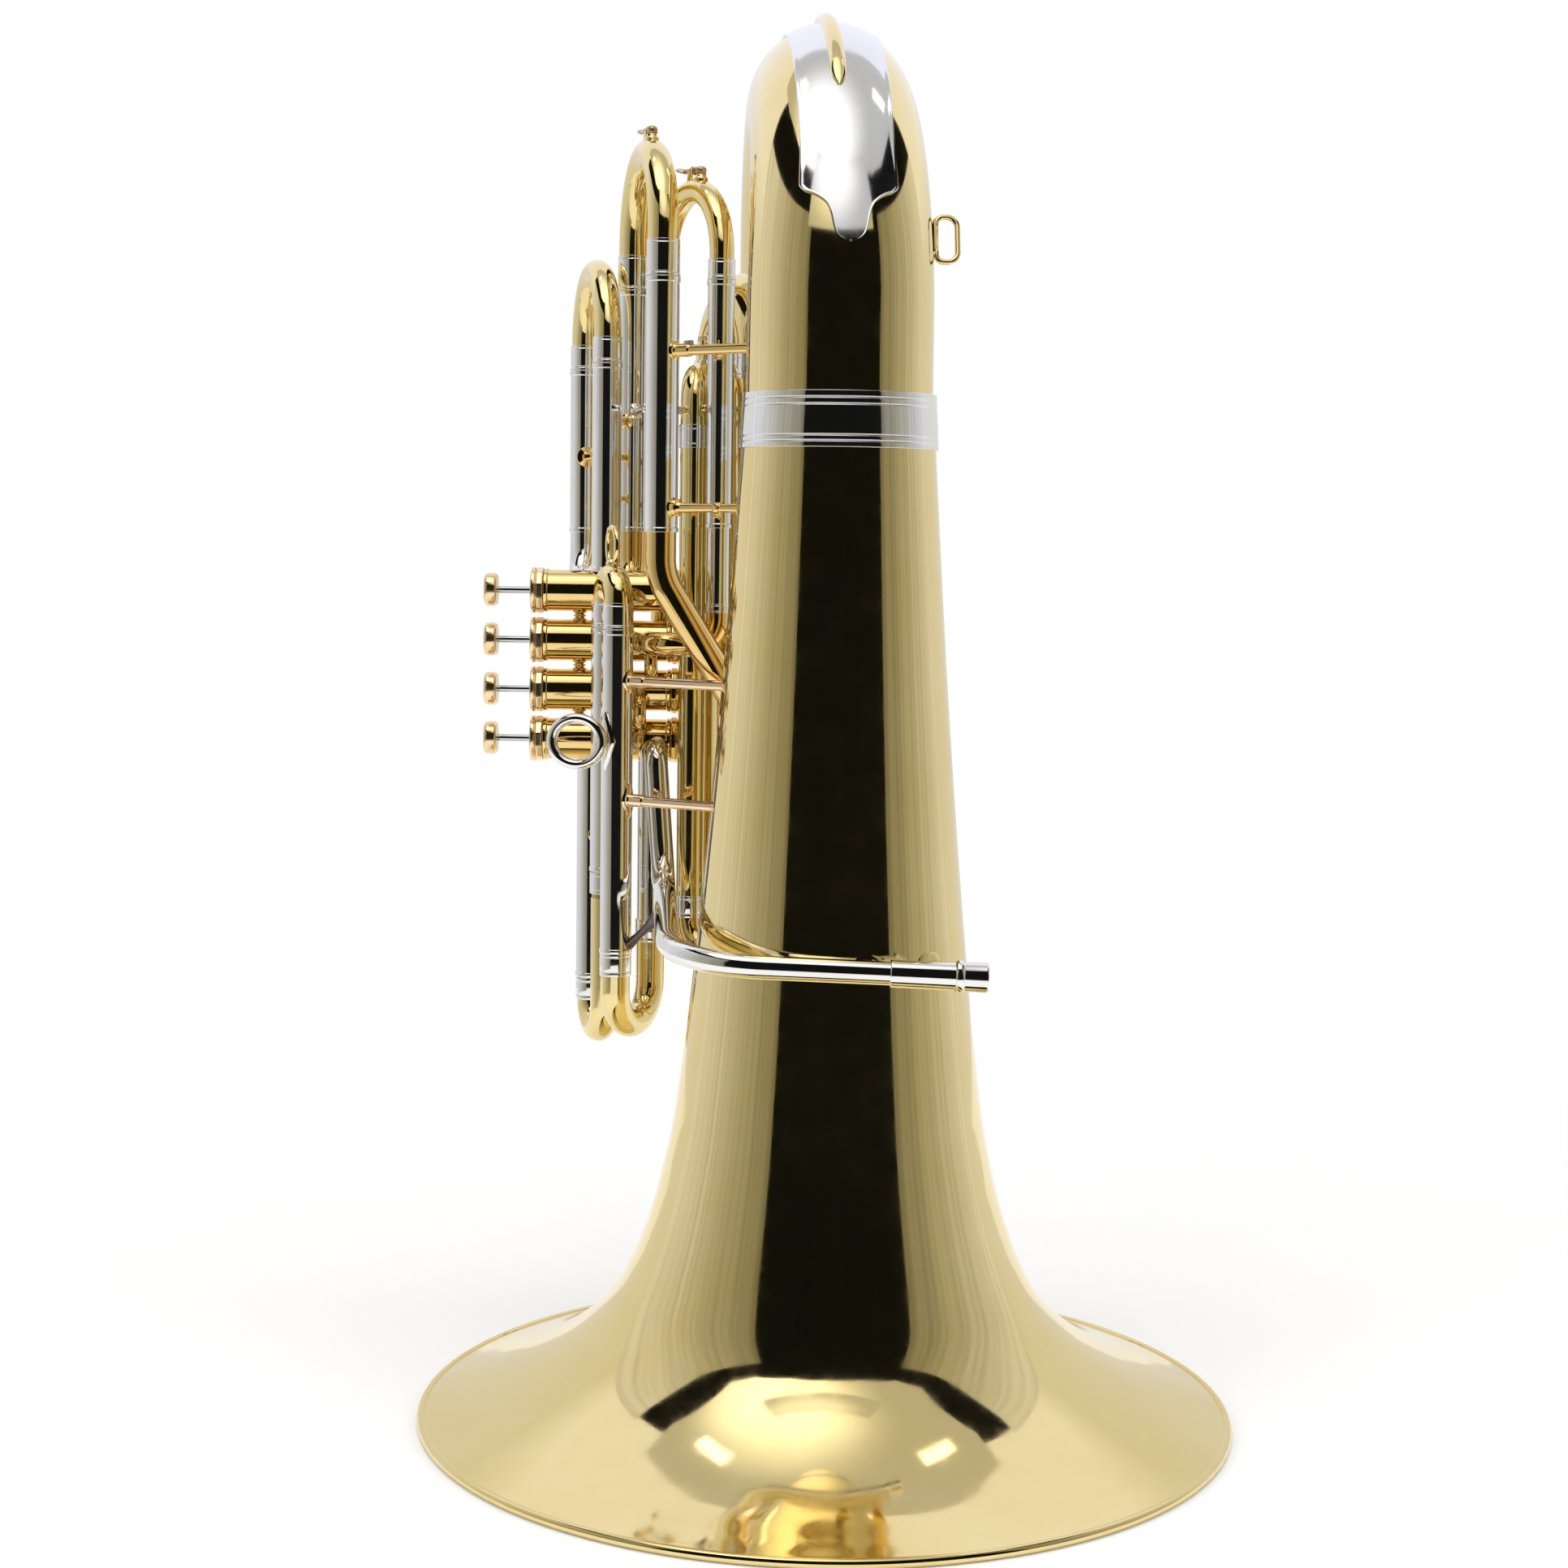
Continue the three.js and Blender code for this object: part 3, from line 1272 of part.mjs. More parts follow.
function strapRing() {
  const climb = Math.asin((strapRingZ - bowArcHeight) / bowArcRadius);
  const radius = interpolate(bowMarks, bowStraight + bowArcRadius * climb)[1];
  const middle = bowArcRadius * (1 - Math.cos(climb));
  const foot = shifted(at(0, 0, strapRingZ), bowAcross, middle);
  const seat = shifted(foot, bowSide, radius + fit + strapPlateThickness / 2);
  const plate = block(
    seat, bowAcross, bowSide.clone().negate(), up,
    strapRingWidth, strapPlateThickness, strapRingLength * strapPlateShare,
  );
  const halfWidth = strapRingWidth / 2;
  const outline = stadium(halfWidth, strapRingLength / 2);
  outline.holes.push(stadium(halfWidth - 2 * strapRingWire, strapRingLength / 2 - 2 * strapRingWire));
  const depth = 2 * strapRingWire;
  const loop = new THREE.ExtrudeGeometry(outline, { depth, bevelEnabled: false, curveSegments: ringSteps });
  loop.translate(0, 0, -depth / 2);
  loop.applyMatrix4(new THREE.Matrix4().makeBasis(bowSide, up, bowAcross.clone().negate()));
  const centre = shifted(foot, bowSide, radius + fit + strapPlateThickness / 2 + halfWidth - strapRingWire);
  loop.translate(centre.x, centre.y, centre.z);
  return cut(join(plate, loop), bowEnvelope(fit));
}

// An upright outline with round ends
function stadium(halfWidth, halfLength) {
  const straight = halfLength - halfWidth;
  const shape = new THREE.Shape();
  shape.moveTo(halfWidth, -straight);
  shape.lineTo(halfWidth, straight);
  shape.absarc(0, straight, halfWidth, 0, halfTurn, false);
  shape.lineTo(-halfWidth, -straight);
  shape.absarc(0, -straight, halfWidth, halfTurn, 2 * halfTurn, false);
  return shape;
}

place('thumb_ring', thumbRing(), nickel);
place('strap_ring', strapRing(), nickel);

// Braces

// A rod from a tube to the bell or to a second tube, ending just clear of both,
// with a flange and a socket where the first tube has a radius to stand on
function brace(from, to, z, radius, tools, socketAt = 0) {
  const a = atHeight(from, z);
  const b = atHeight(to, z);
  const parts = [rod(a, b, radius)];
  if (socketAt > 0) {
    const along = between(a, b);
    const start = shifted(a, along, socketAt);
    parts.push(rod(a, shifted(start, along, braceSocketLength), braceSocketRadius));
    parts.push(rod(a, shifted(start, along, braceFlangeLength), braceFlangeRadius));
  }
  return cut(join(...parts), ...tools);
}

const bellTool = bellEnvelope(fit);
const bowTool = clearPost(bellAxis, bowStartRadius, bellHeight, bowArcHeight);
const mainTool = clearPost(mainNear, mainSleeveRadius, mainSleeveEnd, mainMouth);
const firstTool = clearPost(firstFront, firstSleeveRadius, firstFrontEnd, firstMouth);
const bellSide = at(-bellThroatRadius * braceInset, bellThroatRadius * braceInset, 0);
const mainBrace = (z, radius, tool) =>
  brace(mainNear, bellSide, z, radius, [mainTool, tool], mainSleeveRadius);
const firstBrace = (z) =>
  brace(firstFront, bellSide, z, braceRodRadius, [firstTool, bellTool], firstSleeveRadius);
place('brace_upper', mainBrace(braceUpperZ, braceRodRadius, bowTool), brass);
place('brace_turned', mainBrace(braceTurnedZ, braceSocketRadius, bellTool), brass);
place('brace_valves', firstBrace(braceValvesZ), nickel);
place('brace_lower', firstBrace(braceLowerZ), nickel);

const backBraceZ = (lowerBowHeight + innerBowHeight) / 2;
const branchRadius = (start, end) => (start + end) / 2;
const innerMiddle = branchRadius(innerBranchStartRadius, innerBranchEndRadius);
const outerMiddle = branchRadius(bowEndRadius, outerBranchEndRadius);
const thirdMiddle = branchRadius(thirdBranchStartRadius, thirdBranchEndRadius);
const innerTool = clearPost(innerAxis, innerMiddle + branchFerruleRise / 2, lowerBowHeight, innerBowHeight);
const outerTool = clearPost(outerAxis, outerMiddle + branchFerruleRise / 2, lowerBowHeight, innerBowHeight);
const thirdTool = clearPost(thirdAxis, thirdMiddle + branchFerruleRise / 2, lowerBowHeight, innerBowHeight);
const backBrace = (from, to, tools) => brace(from, to, backBraceZ, braceRodRadius, tools);
place('brace_branches', backBrace(innerAxis, outerAxis, [innerTool, outerTool]), brass);
place('brace_bell_branch', backBrace(thirdAxis, bellAxis, [thirdTool, bellTool]), brass);

// The origin lies under the middle of the whole instrument
const bounds = new THREE.Box3().setFromObject(horn);
const centre = bounds.getCenter(at(0, 0, 0));
horn.position.set(-centre.x, -centre.y, -bounds.min.z);

export default horn;
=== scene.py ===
import math

import bmesh
import bpy
from mathutils import Matrix, Vector


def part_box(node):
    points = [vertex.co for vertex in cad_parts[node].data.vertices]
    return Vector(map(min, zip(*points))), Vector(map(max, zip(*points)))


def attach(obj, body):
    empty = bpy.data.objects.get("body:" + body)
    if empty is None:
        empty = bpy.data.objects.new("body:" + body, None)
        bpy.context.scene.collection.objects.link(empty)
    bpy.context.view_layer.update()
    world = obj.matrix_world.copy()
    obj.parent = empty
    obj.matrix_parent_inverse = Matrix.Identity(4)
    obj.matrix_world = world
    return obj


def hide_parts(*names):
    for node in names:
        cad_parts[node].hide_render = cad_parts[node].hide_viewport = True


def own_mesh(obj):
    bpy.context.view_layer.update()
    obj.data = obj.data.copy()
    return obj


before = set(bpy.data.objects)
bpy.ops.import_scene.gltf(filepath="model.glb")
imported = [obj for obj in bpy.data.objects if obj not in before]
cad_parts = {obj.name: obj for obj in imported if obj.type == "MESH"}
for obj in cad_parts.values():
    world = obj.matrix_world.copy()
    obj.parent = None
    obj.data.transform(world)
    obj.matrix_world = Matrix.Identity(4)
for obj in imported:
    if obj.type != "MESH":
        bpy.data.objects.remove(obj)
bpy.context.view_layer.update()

# Lengths below are in millimetres from the bell's axis and the rim's plane, as in the solids.
MM = 0.001
HORN = "horn"
UP = Vector((0, 0, 1))
DOWN = Vector((0, 0, -1))
REAR = Vector((0, 1, 0))
FRONT = Vector((0, -1, 0))
PLAYER = Vector((-1, 0, 0))
RIGHT = Vector((1, 0, 0))
BELL_LOW, BELL_HIGH = (Vector(corner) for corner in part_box("bell"))
ORIGIN = Vector(((BELL_LOW.x + BELL_HIGH.x) / 2, (BELL_LOW.y + BELL_HIGH.y) / 2, 0))

TINY = 1e-5
BEND_STEP = math.radians(4)
BIG_SIDES = 128
BOW_SIDES = 96
TUBE_SIDES = 48
ROD_SIDES = 32
SMALL_SIDES = 20
SHARP = math.radians(31)
WALL = 1.0


def at(x, y, z):
    return Vector((x, y, z))


def level(axis, z):
    return Vector((axis.x, axis.y, z))


def between(a, b):
    return (b - a).normalized()


def mix(a, b, share):
    return a + (b - a) * share


# Materials


def node_tree(name):
    material = bpy.data.materials.new(name)
    material.use_nodes = True
    tree = material.node_tree
    shader = tree.nodes["Principled BSDF"]
    return material, tree, shader


def noise(tree, scale, detail, rough=0.5, stretch=None):
    """A noise texture in the object's own coordinates, stretched if asked."""
    coords = tree.nodes.new("ShaderNodeTexCoord")
    texture = tree.nodes.new("ShaderNodeTexNoise")
    texture.inputs["Scale"].default_value = scale
    texture.inputs["Detail"].default_value = detail
    texture.inputs["Roughness"].default_value = rough
    source = coords.outputs["Object"]
    if stretch:
        mapping = tree.nodes.new("ShaderNodeMapping")
        mapping.inputs["Scale"].default_value = stretch
        tree.links.new(source, mapping.inputs["Vector"])
        source = mapping.outputs["Vector"]
    tree.links.new(source, texture.inputs["Vector"])
    return texture.outputs["Fac"]


def ramp(tree, factor, low, high, start=0.35, end=0.65):
    """Maps a factor to a range of colours or of grey values."""
    band = tree.nodes.new("ShaderNodeValToRGB")
    band.color_ramp.elements[0].position = start
    band.color_ramp.elements[1].position = end
    for element, value in zip(band.color_ramp.elements, (low, high)):
        colour = value if isinstance(value, tuple) else (value, value, value)
        element.color = (*colour, 1)
    tree.links.new(factor, band.inputs["Fac"])
    return band.outputs["Color"]


def bump(tree, shader, heights):
    """Chains bumps of (factor, strength, distance in metres) into the shader's normal."""
    normal = None
    for factor, strength, distance in heights:
        node = tree.nodes.new("ShaderNodeBump")
        node.inputs["Strength"].default_value = strength
        node.inputs["Distance"].default_value = distance
        tree.links.new(factor, node.inputs["Height"])
        if normal:
            tree.links.new(normal, node.inputs["Normal"])
        normal = node.outputs["Normal"]
    tree.links.new(normal, shader.inputs["Normal"])


def metal(name, colour, tarnish, rough=(0.05, 0.11), coat=0.0, waves=0.12, hairlines=0.05):
    """Polished metal: tone drifts between two colours, polish and sheet waves vary."""
    material, tree, shader = node_tree(name)
    shader.inputs["Metallic"].default_value = 1
    shader.inputs["Coat Weight"].default_value = coat
    shader.inputs["Coat Roughness"].default_value = 0.04
    drift = noise(tree, 14, 5, 0.6)
    tree.links.new(ramp(tree, drift, colour, tarnish, 0.38, 0.74), shader.inputs["Base Color"])
    smear = noise(tree, 60, 6, 0.65)
    tree.links.new(ramp(tree, smear, rough[0], rough[1], 0.4, 0.72), shader.inputs["Roughness"])
    sheet = noise(tree, 26, 2, 0.4)
    lines = noise(tree, 420, 3, 0.6, (1, 1, 0.06))
    bump(tree, shader, [(sheet, waves, 0.0006), (lines, hairlines, 0.00004)])
    return material


def soft_material(name, colour, dark, scale):
    """Cork, felt and the like: rough, grainy and mottled."""
    material, tree, shader = node_tree(name)
    grain = noise(tree, scale, 8, 0.7)
    tree.links.new(ramp(tree, grain, colour, dark), shader.inputs["Base Color"])
    shader.inputs["Roughness"].default_value = 0.85
    bump(tree, shader, [(grain, 0.6, 0.0004)])
    return material


METALS = {
    "yellow": (
        metal("lacquered_yellow_brass", (0.87, 0.715, 0.35), (0.84, 0.66, 0.29), coat=0.1),
        "yellow_brass",
    ),
    "deep": (
        metal("lacquered_deep_brass", (0.87, 0.64, 0.27), (0.81, 0.54, 0.19), coat=0.1),
        "deep_brass",
    ),
    "rose": (
        metal("bare_red_brass", (0.93, 0.73, 0.44), (0.84, 0.62, 0.34), rough=(0.16, 0.28)),
        "deep_brass",
    ),
    "nickel": (
        metal("polished_nickel_silver", (0.88, 0.865, 0.83), (0.8, 0.78, 0.745), rough=(0.04, 0.09)),
        "nickel_silver",
    ),
    "guard": (
        metal("guard_nickel_silver", (0.86, 0.855, 0.84), (0.8, 0.79, 0.77), rough=(0.08, 0.16)),
        "nickel_silver",
    ),
    "copper": (
        metal("polished_red_brass", (0.94, 0.74, 0.52), (0.87, 0.63, 0.4), rough=(0.03, 0.07)),
        "deep_brass",
    ),
    "tan": (
        metal("worn_bronze", (0.6, 0.46, 0.29), (0.48, 0.34, 0.2), rough=(0.25, 0.4)),
        "yellow_brass",
    ),
    "steel": (
        metal("polished_steel", (0.6, 0.6, 0.62), (0.5, 0.5, 0.51), rough=(0.08, 0.16)),
        "polished_steel",
    ),
    # Near-black steel for the leadpipe clamp: the dark reflection it shows is painted into its colour, not the
    # steel's own tone.
    "dark": (
        metal("painted_dark_reflection_steel", (0.13, 0.11, 0.1), (0.2, 0.14, 0.1), rough=(0.25, 0.45)),
        "polished_steel",
    ),
    "cork": (soft_material("cork_grain", (0.5, 0.33, 0.18), (0.24, 0.13, 0.06), 700), "deep_brass"),
    "felt": (soft_material("felt_fibre", (0.08, 0.07, 0.06), (0.16, 0.14, 0.12), 1500), "deep_brass"),
}


# Meshes


def piece(name, geometry, finish, nodes=(), body=HORN, sharp=SHARP):
    """Makes a named piece from (points in mm, faces), which rides on a body."""
    points, faces = geometry
    mesh = bpy.data.meshes.new(name)
    mesh.from_pydata([tuple(ORIGIN + point * MM) for point in points], [], faces)
    work = bmesh.new()
    work.from_mesh(mesh)
    bmesh.ops.remove_doubles(work, verts=work.verts, dist=TINY * MM)
    bmesh.ops.recalc_face_normals(work, faces=work.faces)
    for face in work.faces:
        face.smooth = True
    for edge in work.edges:
        if len(edge.link_faces) == 2 and edge.calc_face_angle() > sharp:
            edge.smooth = False
    work.to_mesh(mesh)
    work.free()
    obj = bpy.data.objects.new(name, mesh)
    bpy.context.scene.collection.objects.link(obj)
    material, slot = METALS[finish]
    mesh.materials.append(material)
    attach(obj, body)
    if nodes:
        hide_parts(*nodes)
    return obj


def merged(*geometries):
    """Several closed shapes as one geometry."""
    points, faces = [], []
    for more_points, more_faces in geometries:
        start = len(points)
        points.extend(more_points)
        faces.extend([tuple(i + start for i in face) for face in more_faces])
    return points, faces


class Route:
    """A broken line with rounded corners, with one bend radius or one for each corner."""

    def __init__(self, points, bends=0.0):
        self.pieces = []
        self.length = 0.0
        start = points[0]
        for i in range(1, len(points) - 1):
            inward = between(points[i - 1], points[i])
            outward = between(points[i], points[i + 1])
            turn = inward.angle(outward)
            radius = bends[i - 1] if isinstance(bends, (list, tuple)) else bends
            reach = radius * math.tan(turn / 2)
            self.line(start, points[i] - inward * reach)
            self.arc(points[i] - inward * reach, inward, outward, turn, radius)
            start = points[i] + outward * reach
        self.line(start, points[-1])

    def line(self, a, b):
        length = (b - a).length
        if length > TINY:
            self.pieces.append((self.length, length, 1, a, (b - a) / length, None, None))
            self.length += length

    def arc(self, start, inward, outward, turn, radius):
        axis = inward.cross(outward).normalized()
        centre = start + axis.cross(inward) * radius
        steps = max(3, round(turn / BEND_STEP))
        self.pieces.append((self.length, radius * turn, steps, start, inward, axis, centre))
        self.length += radius * turn

    def at(self, s):
        found = self.pieces[-1]
        for entry in self.pieces:
            if s <= entry[0] + entry[1] + TINY:
                found = entry
                break
        begin, length, _, start, tangent, axis, centre = found
        if axis is None:
            return start + tangent * (s - begin), tangent.copy()
        radius = (start - centre).length
        turn = Matrix.Rotation((s - begin) / radius, 3, axis)
        return centre + turn @ (start - centre), turn @ tangent

    def stops(self):
        found = [0.0]
        for begin, length, steps, *_ in self.pieces:
            found.extend(begin + length * (i + 1) / steps for i in range(steps))
        return found


def u_route(a, b, height, way, end_a, end_b):
    """Two parallel upright legs joined by a half turn above (way 1) or below (way -1)."""
    radius = (b - a).length / 2
    corner = height + way * radius
    return Route([level(a, end_a), level(a, corner), level(b, corner), level(b, end_b)], radius)


def interpolate(marks, s):
    if s <= marks[0][0]:
        return marks[0]
    for low, high in zip(marks, marks[1:]):
        if s <= high[0]:
            share = (s - low[0]) / (high[0] - low[0])
            return tuple(mix(a, b, share) for a, b in zip(low, high))
    return marks[-1]


def tube(route, marks, sides=TUBE_SIDES, hollow=False, flat=1.0):
    """A round bar or tube along a route; marks hold (place, radius), with a wall if hollow."""
    wanted = route.stops() + [mark[0] for mark in marks]
    places = sorted(set(round(min(max(s, 0.0), route.length), 4) for s in wanted))
    points, rings = [], []
    last = route.at(0)[1]
    normal = last.orthogonal().normalized()
    for s in places:
        centre, tangent = route.at(s)
        normal = last.rotation_difference(tangent) @ normal
        normal = (normal - tangent * normal.dot(tangent)).normalized()
        last = tangent
        side = tangent.cross(normal)
        radius = interpolate(marks, s)[1]
        layers = []
        for reach in (radius, radius - WALL) if hollow else (radius,):
            layers.append(len(points))
            for k in range(sides):
                turn = 2 * math.pi * k / sides
                points.append(
                    centre + normal * (reach * math.cos(turn)) + side * (reach * flat * math.sin(turn))
                )
        rings.append(layers)
    faces = []
    for k in range(sides):
        j = (k + 1) % sides
        for one, two in zip(rings, rings[1:]):
            faces.append((one[0] + k, one[0] + j, two[0] + j, two[0] + k))
            if hollow:
                faces.append((one[1] + j, one[1] + k, two[1] + k, two[1] + j))
        if hollow:
            for ring in (rings[0], rings[-1]):
                faces.append((ring[0] + k, ring[0] + j, ring[1] + j, ring[1] + k))
    if not hollow:
        for ring in (rings[0], rings[-1]):
            faces.append(tuple(ring[0] + k for k in range(sides)))
    return points, faces


def even(route, radius):
    return [(0.0, radius), (route.length, radius)]


def basis(direction):
    """Two directions square to one, the first as near to straight up as it can be."""
    direction = direction.normalized()
    guide = UP if abs(direction.dot(UP)) < 0.9 else FRONT
    first = (guide - direction * guide.dot(direction)).normalized()
    return first, direction.cross(first)


def soften(profile, radius, closed=True):
    """Rounds each corner of a profile of (place, radius) pairs with a small curve."""
    points = [Vector(p) for p in profile]
    result = []
    count = len(points)
    for i, point in enumerate(points):
        if not closed and i in (0, count - 1):
            result.append(tuple(point))
            continue
        before, after = points[i - 1], points[(i + 1) % count]
        back, ahead = before - point, after - point
        if back.length < TINY or ahead.length < TINY:
            continue
        reach = min(radius, back.length * 0.45, ahead.length * 0.45)
        a = point + back.normalized() * reach
        b = point + ahead.normalized() * reach
        for share in (0, 0.25, 0.5, 0.75, 1):
            spot = a * (1 - share) ** 2 + point * (2 * share * (1 - share)) + b * share**2
            result.append(tuple(spot))
    return result


def turned(profile, origin, direction, sides=TUBE_SIDES, closed=True, facets=0, zone=None, squeeze=1.0):
    """A turned piece; between the two places of a zone it has that many flats."""
    first, second = basis(direction)
    along = direction.normalized()
    points, rings = [], []
    for place, radius in profile:
        if radius < TINY:
            rings.append([len(points)] * sides)
            points.append(origin + along * place)
            continue
        ring = []
        for k in range(sides):
            turn = 2 * math.pi * k / sides
            reach = radius
            if facets and zone[0] <= place <= zone[1]:
                sector = 2 * math.pi / facets
                reach *= math.cos(sector / 2) / math.cos(turn % sector - sector / 2)
            ring.append(len(points))
            points.append(
                origin + along * place + first * (reach * math.cos(turn))
                + second * (reach * squeeze * math.sin(turn))
            )
        rings.append(ring)
    pairs = list(zip(rings, rings[1:]))
    if closed:
        pairs.append((rings[-1], rings[0]))
    faces = []
    for one, two in pairs:
        for k in range(sides):
            j = (k + 1) % sides
            corners = []
            for index in (one[k], one[j], two[j], two[k]):
                if index not in corners:
                    corners.append(index)
            if len(corners) > 2:
                faces.append(tuple(corners))
    return points, faces


def solid(profile, origin, direction, sides=ROD_SIDES, edge=0.4, **options):
    """A turned solid whose profile starts and ends on the axis."""
    whole = [(profile[0][0], 0.0), *profile, (profile[-1][0], 0.0)]
    return turned(soften(whole, edge, closed=False), origin, direction, sides, closed=False, **options)


def ring_shape(centre, axis, radius, wire, depth=None, sides=64, squeeze=1.0):
    """A ring with an oval section: wire across, depth along the axis."""
    depth = depth or wire
    profile = []
    for k in range(24):
        turn = 2 * math.pi * k / 24
        profile.append((depth * math.sin(turn), radius + wire * math.cos(turn)))
    return turned(profile, centre, axis, sides, squeeze=squeeze)


def ball(centre, radius, sides=SMALL_SIDES):
    steps = 10
    profile = [
        (-radius * math.cos(math.pi * i / steps), radius * math.sin(math.pi * i / steps))
        for i in range(1, steps)
    ]
    return solid(profile, centre, UP, sides, edge=0.01)


def patch(axis, radius_at, z, azimuth, half_width, half_height, thickness, power=2.0):
    """A thin plate that lies on an upright round surface: power 2 is oval, 1 a diamond."""
    rounds, steps = 8, 64
    points = []
    middle = math.radians(azimuth)

    def spot(u, v, lift):
        radius = radius_at(z + v)
        turn = middle + u / radius
        reach = radius + lift
        return axis + at(reach * math.cos(turn), reach * math.sin(turn), z + v)

    for layer in (thickness, -0.25):
        points.append(spot(0, 0, layer))
        for i in range(1, rounds + 1):
            share = i / rounds
            lift = layer if layer < 0 else layer * (1 - 0.75 * share**6)
            for k in range(steps):
                turn = 2 * math.pi * k / steps
                c, d = math.cos(turn), math.sin(turn)
                reach = share / (abs(c) ** power + abs(d) ** power) ** (1 / power)
                points.append(spot(half_width * reach * c, half_height * reach * d, lift))
    size = 1 + rounds * steps
    faces = []
    for layer in (0, size):
        for k in range(steps):
            j = (k + 1) % steps
            faces.append((layer, layer + 1 + k, layer + 1 + j))
            for i in range(rounds - 1):
                a = layer + 1 + i * steps
                faces.append((a + k, a + steps + k, a + steps + j, a + j))
    edge = 1 + (rounds - 1) * steps
    for k in range(steps):
        j = (k + 1) % steps
        faces.append((edge + k, edge + j, size + edge + j, size + edge + k))
    return points, faces


def bar(a, b, wide, half_a, half_b, half_thick, power=5.0):
    """A flat bar with rounded edges and ends; wide is the direction of its width."""
    along = between(a, b)
    length = (b - a).length
    wide = (wide - along * wide.dot(along)).normalized()
    thin = along.cross(wide)
    soft = min(half_thick * 0.8, length * 0.2)
    stations = [(0, 0.72), (soft * 0.3, 0.9), (soft, 1), (length - soft, 1), (length - soft * 0.3, 0.9),
                (length, 0.72)]
    steps = 32
    points, faces = [], []
    for place, share in stations:
        half = mix(half_a, half_b, place / length)
        grow = half_thick * (1 - share)
        for k in range(steps):
            turn = 2 * math.pi * k / steps
            c, d = math.cos(turn), math.sin(turn)
            reach = 1 / (abs(c) ** power + abs(d) ** power) ** (1 / power)
            points.append(
                a + along * place + wide * ((half - grow) * reach * c) + thin * (half_thick * share * reach * d)
            )
    for i in range(len(stations) - 1):
        for k in range(steps):
            j = (k + 1) % steps
            faces.append((i * steps + k, i * steps + j, (i + 1) * steps + j, (i + 1) * steps + k))
    faces.append(tuple(range(steps)))
    faces.append(tuple((len(stations) - 1) * steps + k for k in range(steps)))
    return points, faces


# Bell

RIM_RADIUS = 254.0
THROAT_RADIUS = 58.2
BELL_HEIGHT = 617.0
BEAD = 2.9
BEAD_START, BEAD_SWEEP = 165, 320
FLARE_SHARES = (
    (0.008, 0.976), (0.015, 0.908), (0.028, 0.796), (0.046, 0.673), (0.07, 0.551),
    (0.097, 0.453), (0.125, 0.379), (0.158, 0.323), (0.192, 0.281), (0.226, 0.248),
    (0.26, 0.222), (0.293, 0.2), (0.326, 0.184), (0.393, 0.157), (0.461, 0.134),
    (0.56, 0.104), (0.69, 0.069), (0.82, 0.038), (1, 0),
)
FLARE_STEPS = 7


def flare_curve():
    """The bell's outline as (height, radius) pairs on one smooth curve."""
    knots = [
        Vector((BELL_HEIGHT * h, THROAT_RADIUS + (RIM_RADIUS - THROAT_RADIUS) * w))
        for h, w in FLARE_SHARES
    ]
    curve = []
    for i in range(len(knots) - 1):
        p0, p1, p2 = knots[max(i - 1, 0)], knots[i], knots[i + 1]
        p3 = knots[min(i + 2, len(knots) - 1)]
        slope1, slope2 = (p2 - p0) / 2, (p3 - p1) / 2
        for step in range(FLARE_STEPS):
            t = step / FLARE_STEPS
            curve.append(
                (p1 * 2 - p2 * 2 + slope1 + slope2) * t**3
                + (p2 * 3 - p1 * 3 - slope1 * 2 - slope2) * t**2 + slope1 * t + p1
            )
    curve.append(knots[-1])
    return curve


BELL_CURVE = flare_curve()


def bell_radius(z):
    for low, high in zip(BELL_CURVE, BELL_CURVE[1:]):
        if z <= high.x:
            share = max(0.0, (z - low.x) / (high.x - low.x))
            return mix(low.y, high.y, share)
    return THROAT_RADIUS


def bell_shape():
    outer = [tuple(p) for p in BELL_CURVE]
    inner = []
    for i, p in enumerate(BELL_CURVE):
        ahead = BELL_CURVE[min(i + 1, len(BELL_CURVE) - 1)]
        behind = BELL_CURVE[max(i - 1, 0)]
        slope = (ahead - behind).normalized()
        inner.append((p.x + slope.y * WALL, p.y - slope.x * WALL))
    inner[-1] = (BELL_HEIGHT, inner[-1][1])
    bead = []
    for step in range(25):
        turn = math.radians(BEAD_START + BEAD_SWEEP * step / 24)
        bead.append((BEAD + BEAD * math.sin(turn), RIM_RADIUS - BEAD + BEAD * math.cos(turn)))
    return turned([*reversed(inner), *bead, *outer], at(0, 0, 0), UP, BIG_SIDES * 2)


BELL_AXIS = at(0, 0, 0)
piece("bell_flare", bell_shape(), "yellow", ["bell"])

BAND_LOW, BAND_HIGH = 600.5, 633.5
BAND_LOW_RADIUS, BAND_HIGH_RADIUS = 60.9, 59.1
GROOVE = 0.4


def band_shape():
    def outside(z):
        share = (z - BAND_LOW) / (BAND_HIGH - BAND_LOW)
        return mix(BAND_LOW_RADIUS, BAND_HIGH_RADIUS, share)

    profile = [(BAND_LOW, outside(BAND_LOW) - 1.3), (BAND_LOW, outside(BAND_LOW))]
    for offset in (3.0, 6.4, 24.4, 28.4):
        z = BAND_LOW + offset
        profile.append((z, outside(z)))
        profile.append((z + 0.35, outside(z) - GROOVE))
        profile.append((z + 0.85, outside(z) - GROOVE))
        profile.append((z + 1.2, outside(z)))
    profile += [(BAND_HIGH, outside(BAND_HIGH)), (BAND_HIGH, outside(BAND_HIGH) - 1.3)]
    return turned(soften(profile, 0.3), BELL_AXIS, UP, BOW_SIDES)


piece("bell_band", band_shape(), "nickel", ["bell_ferrule"])

# Main bow with its guards

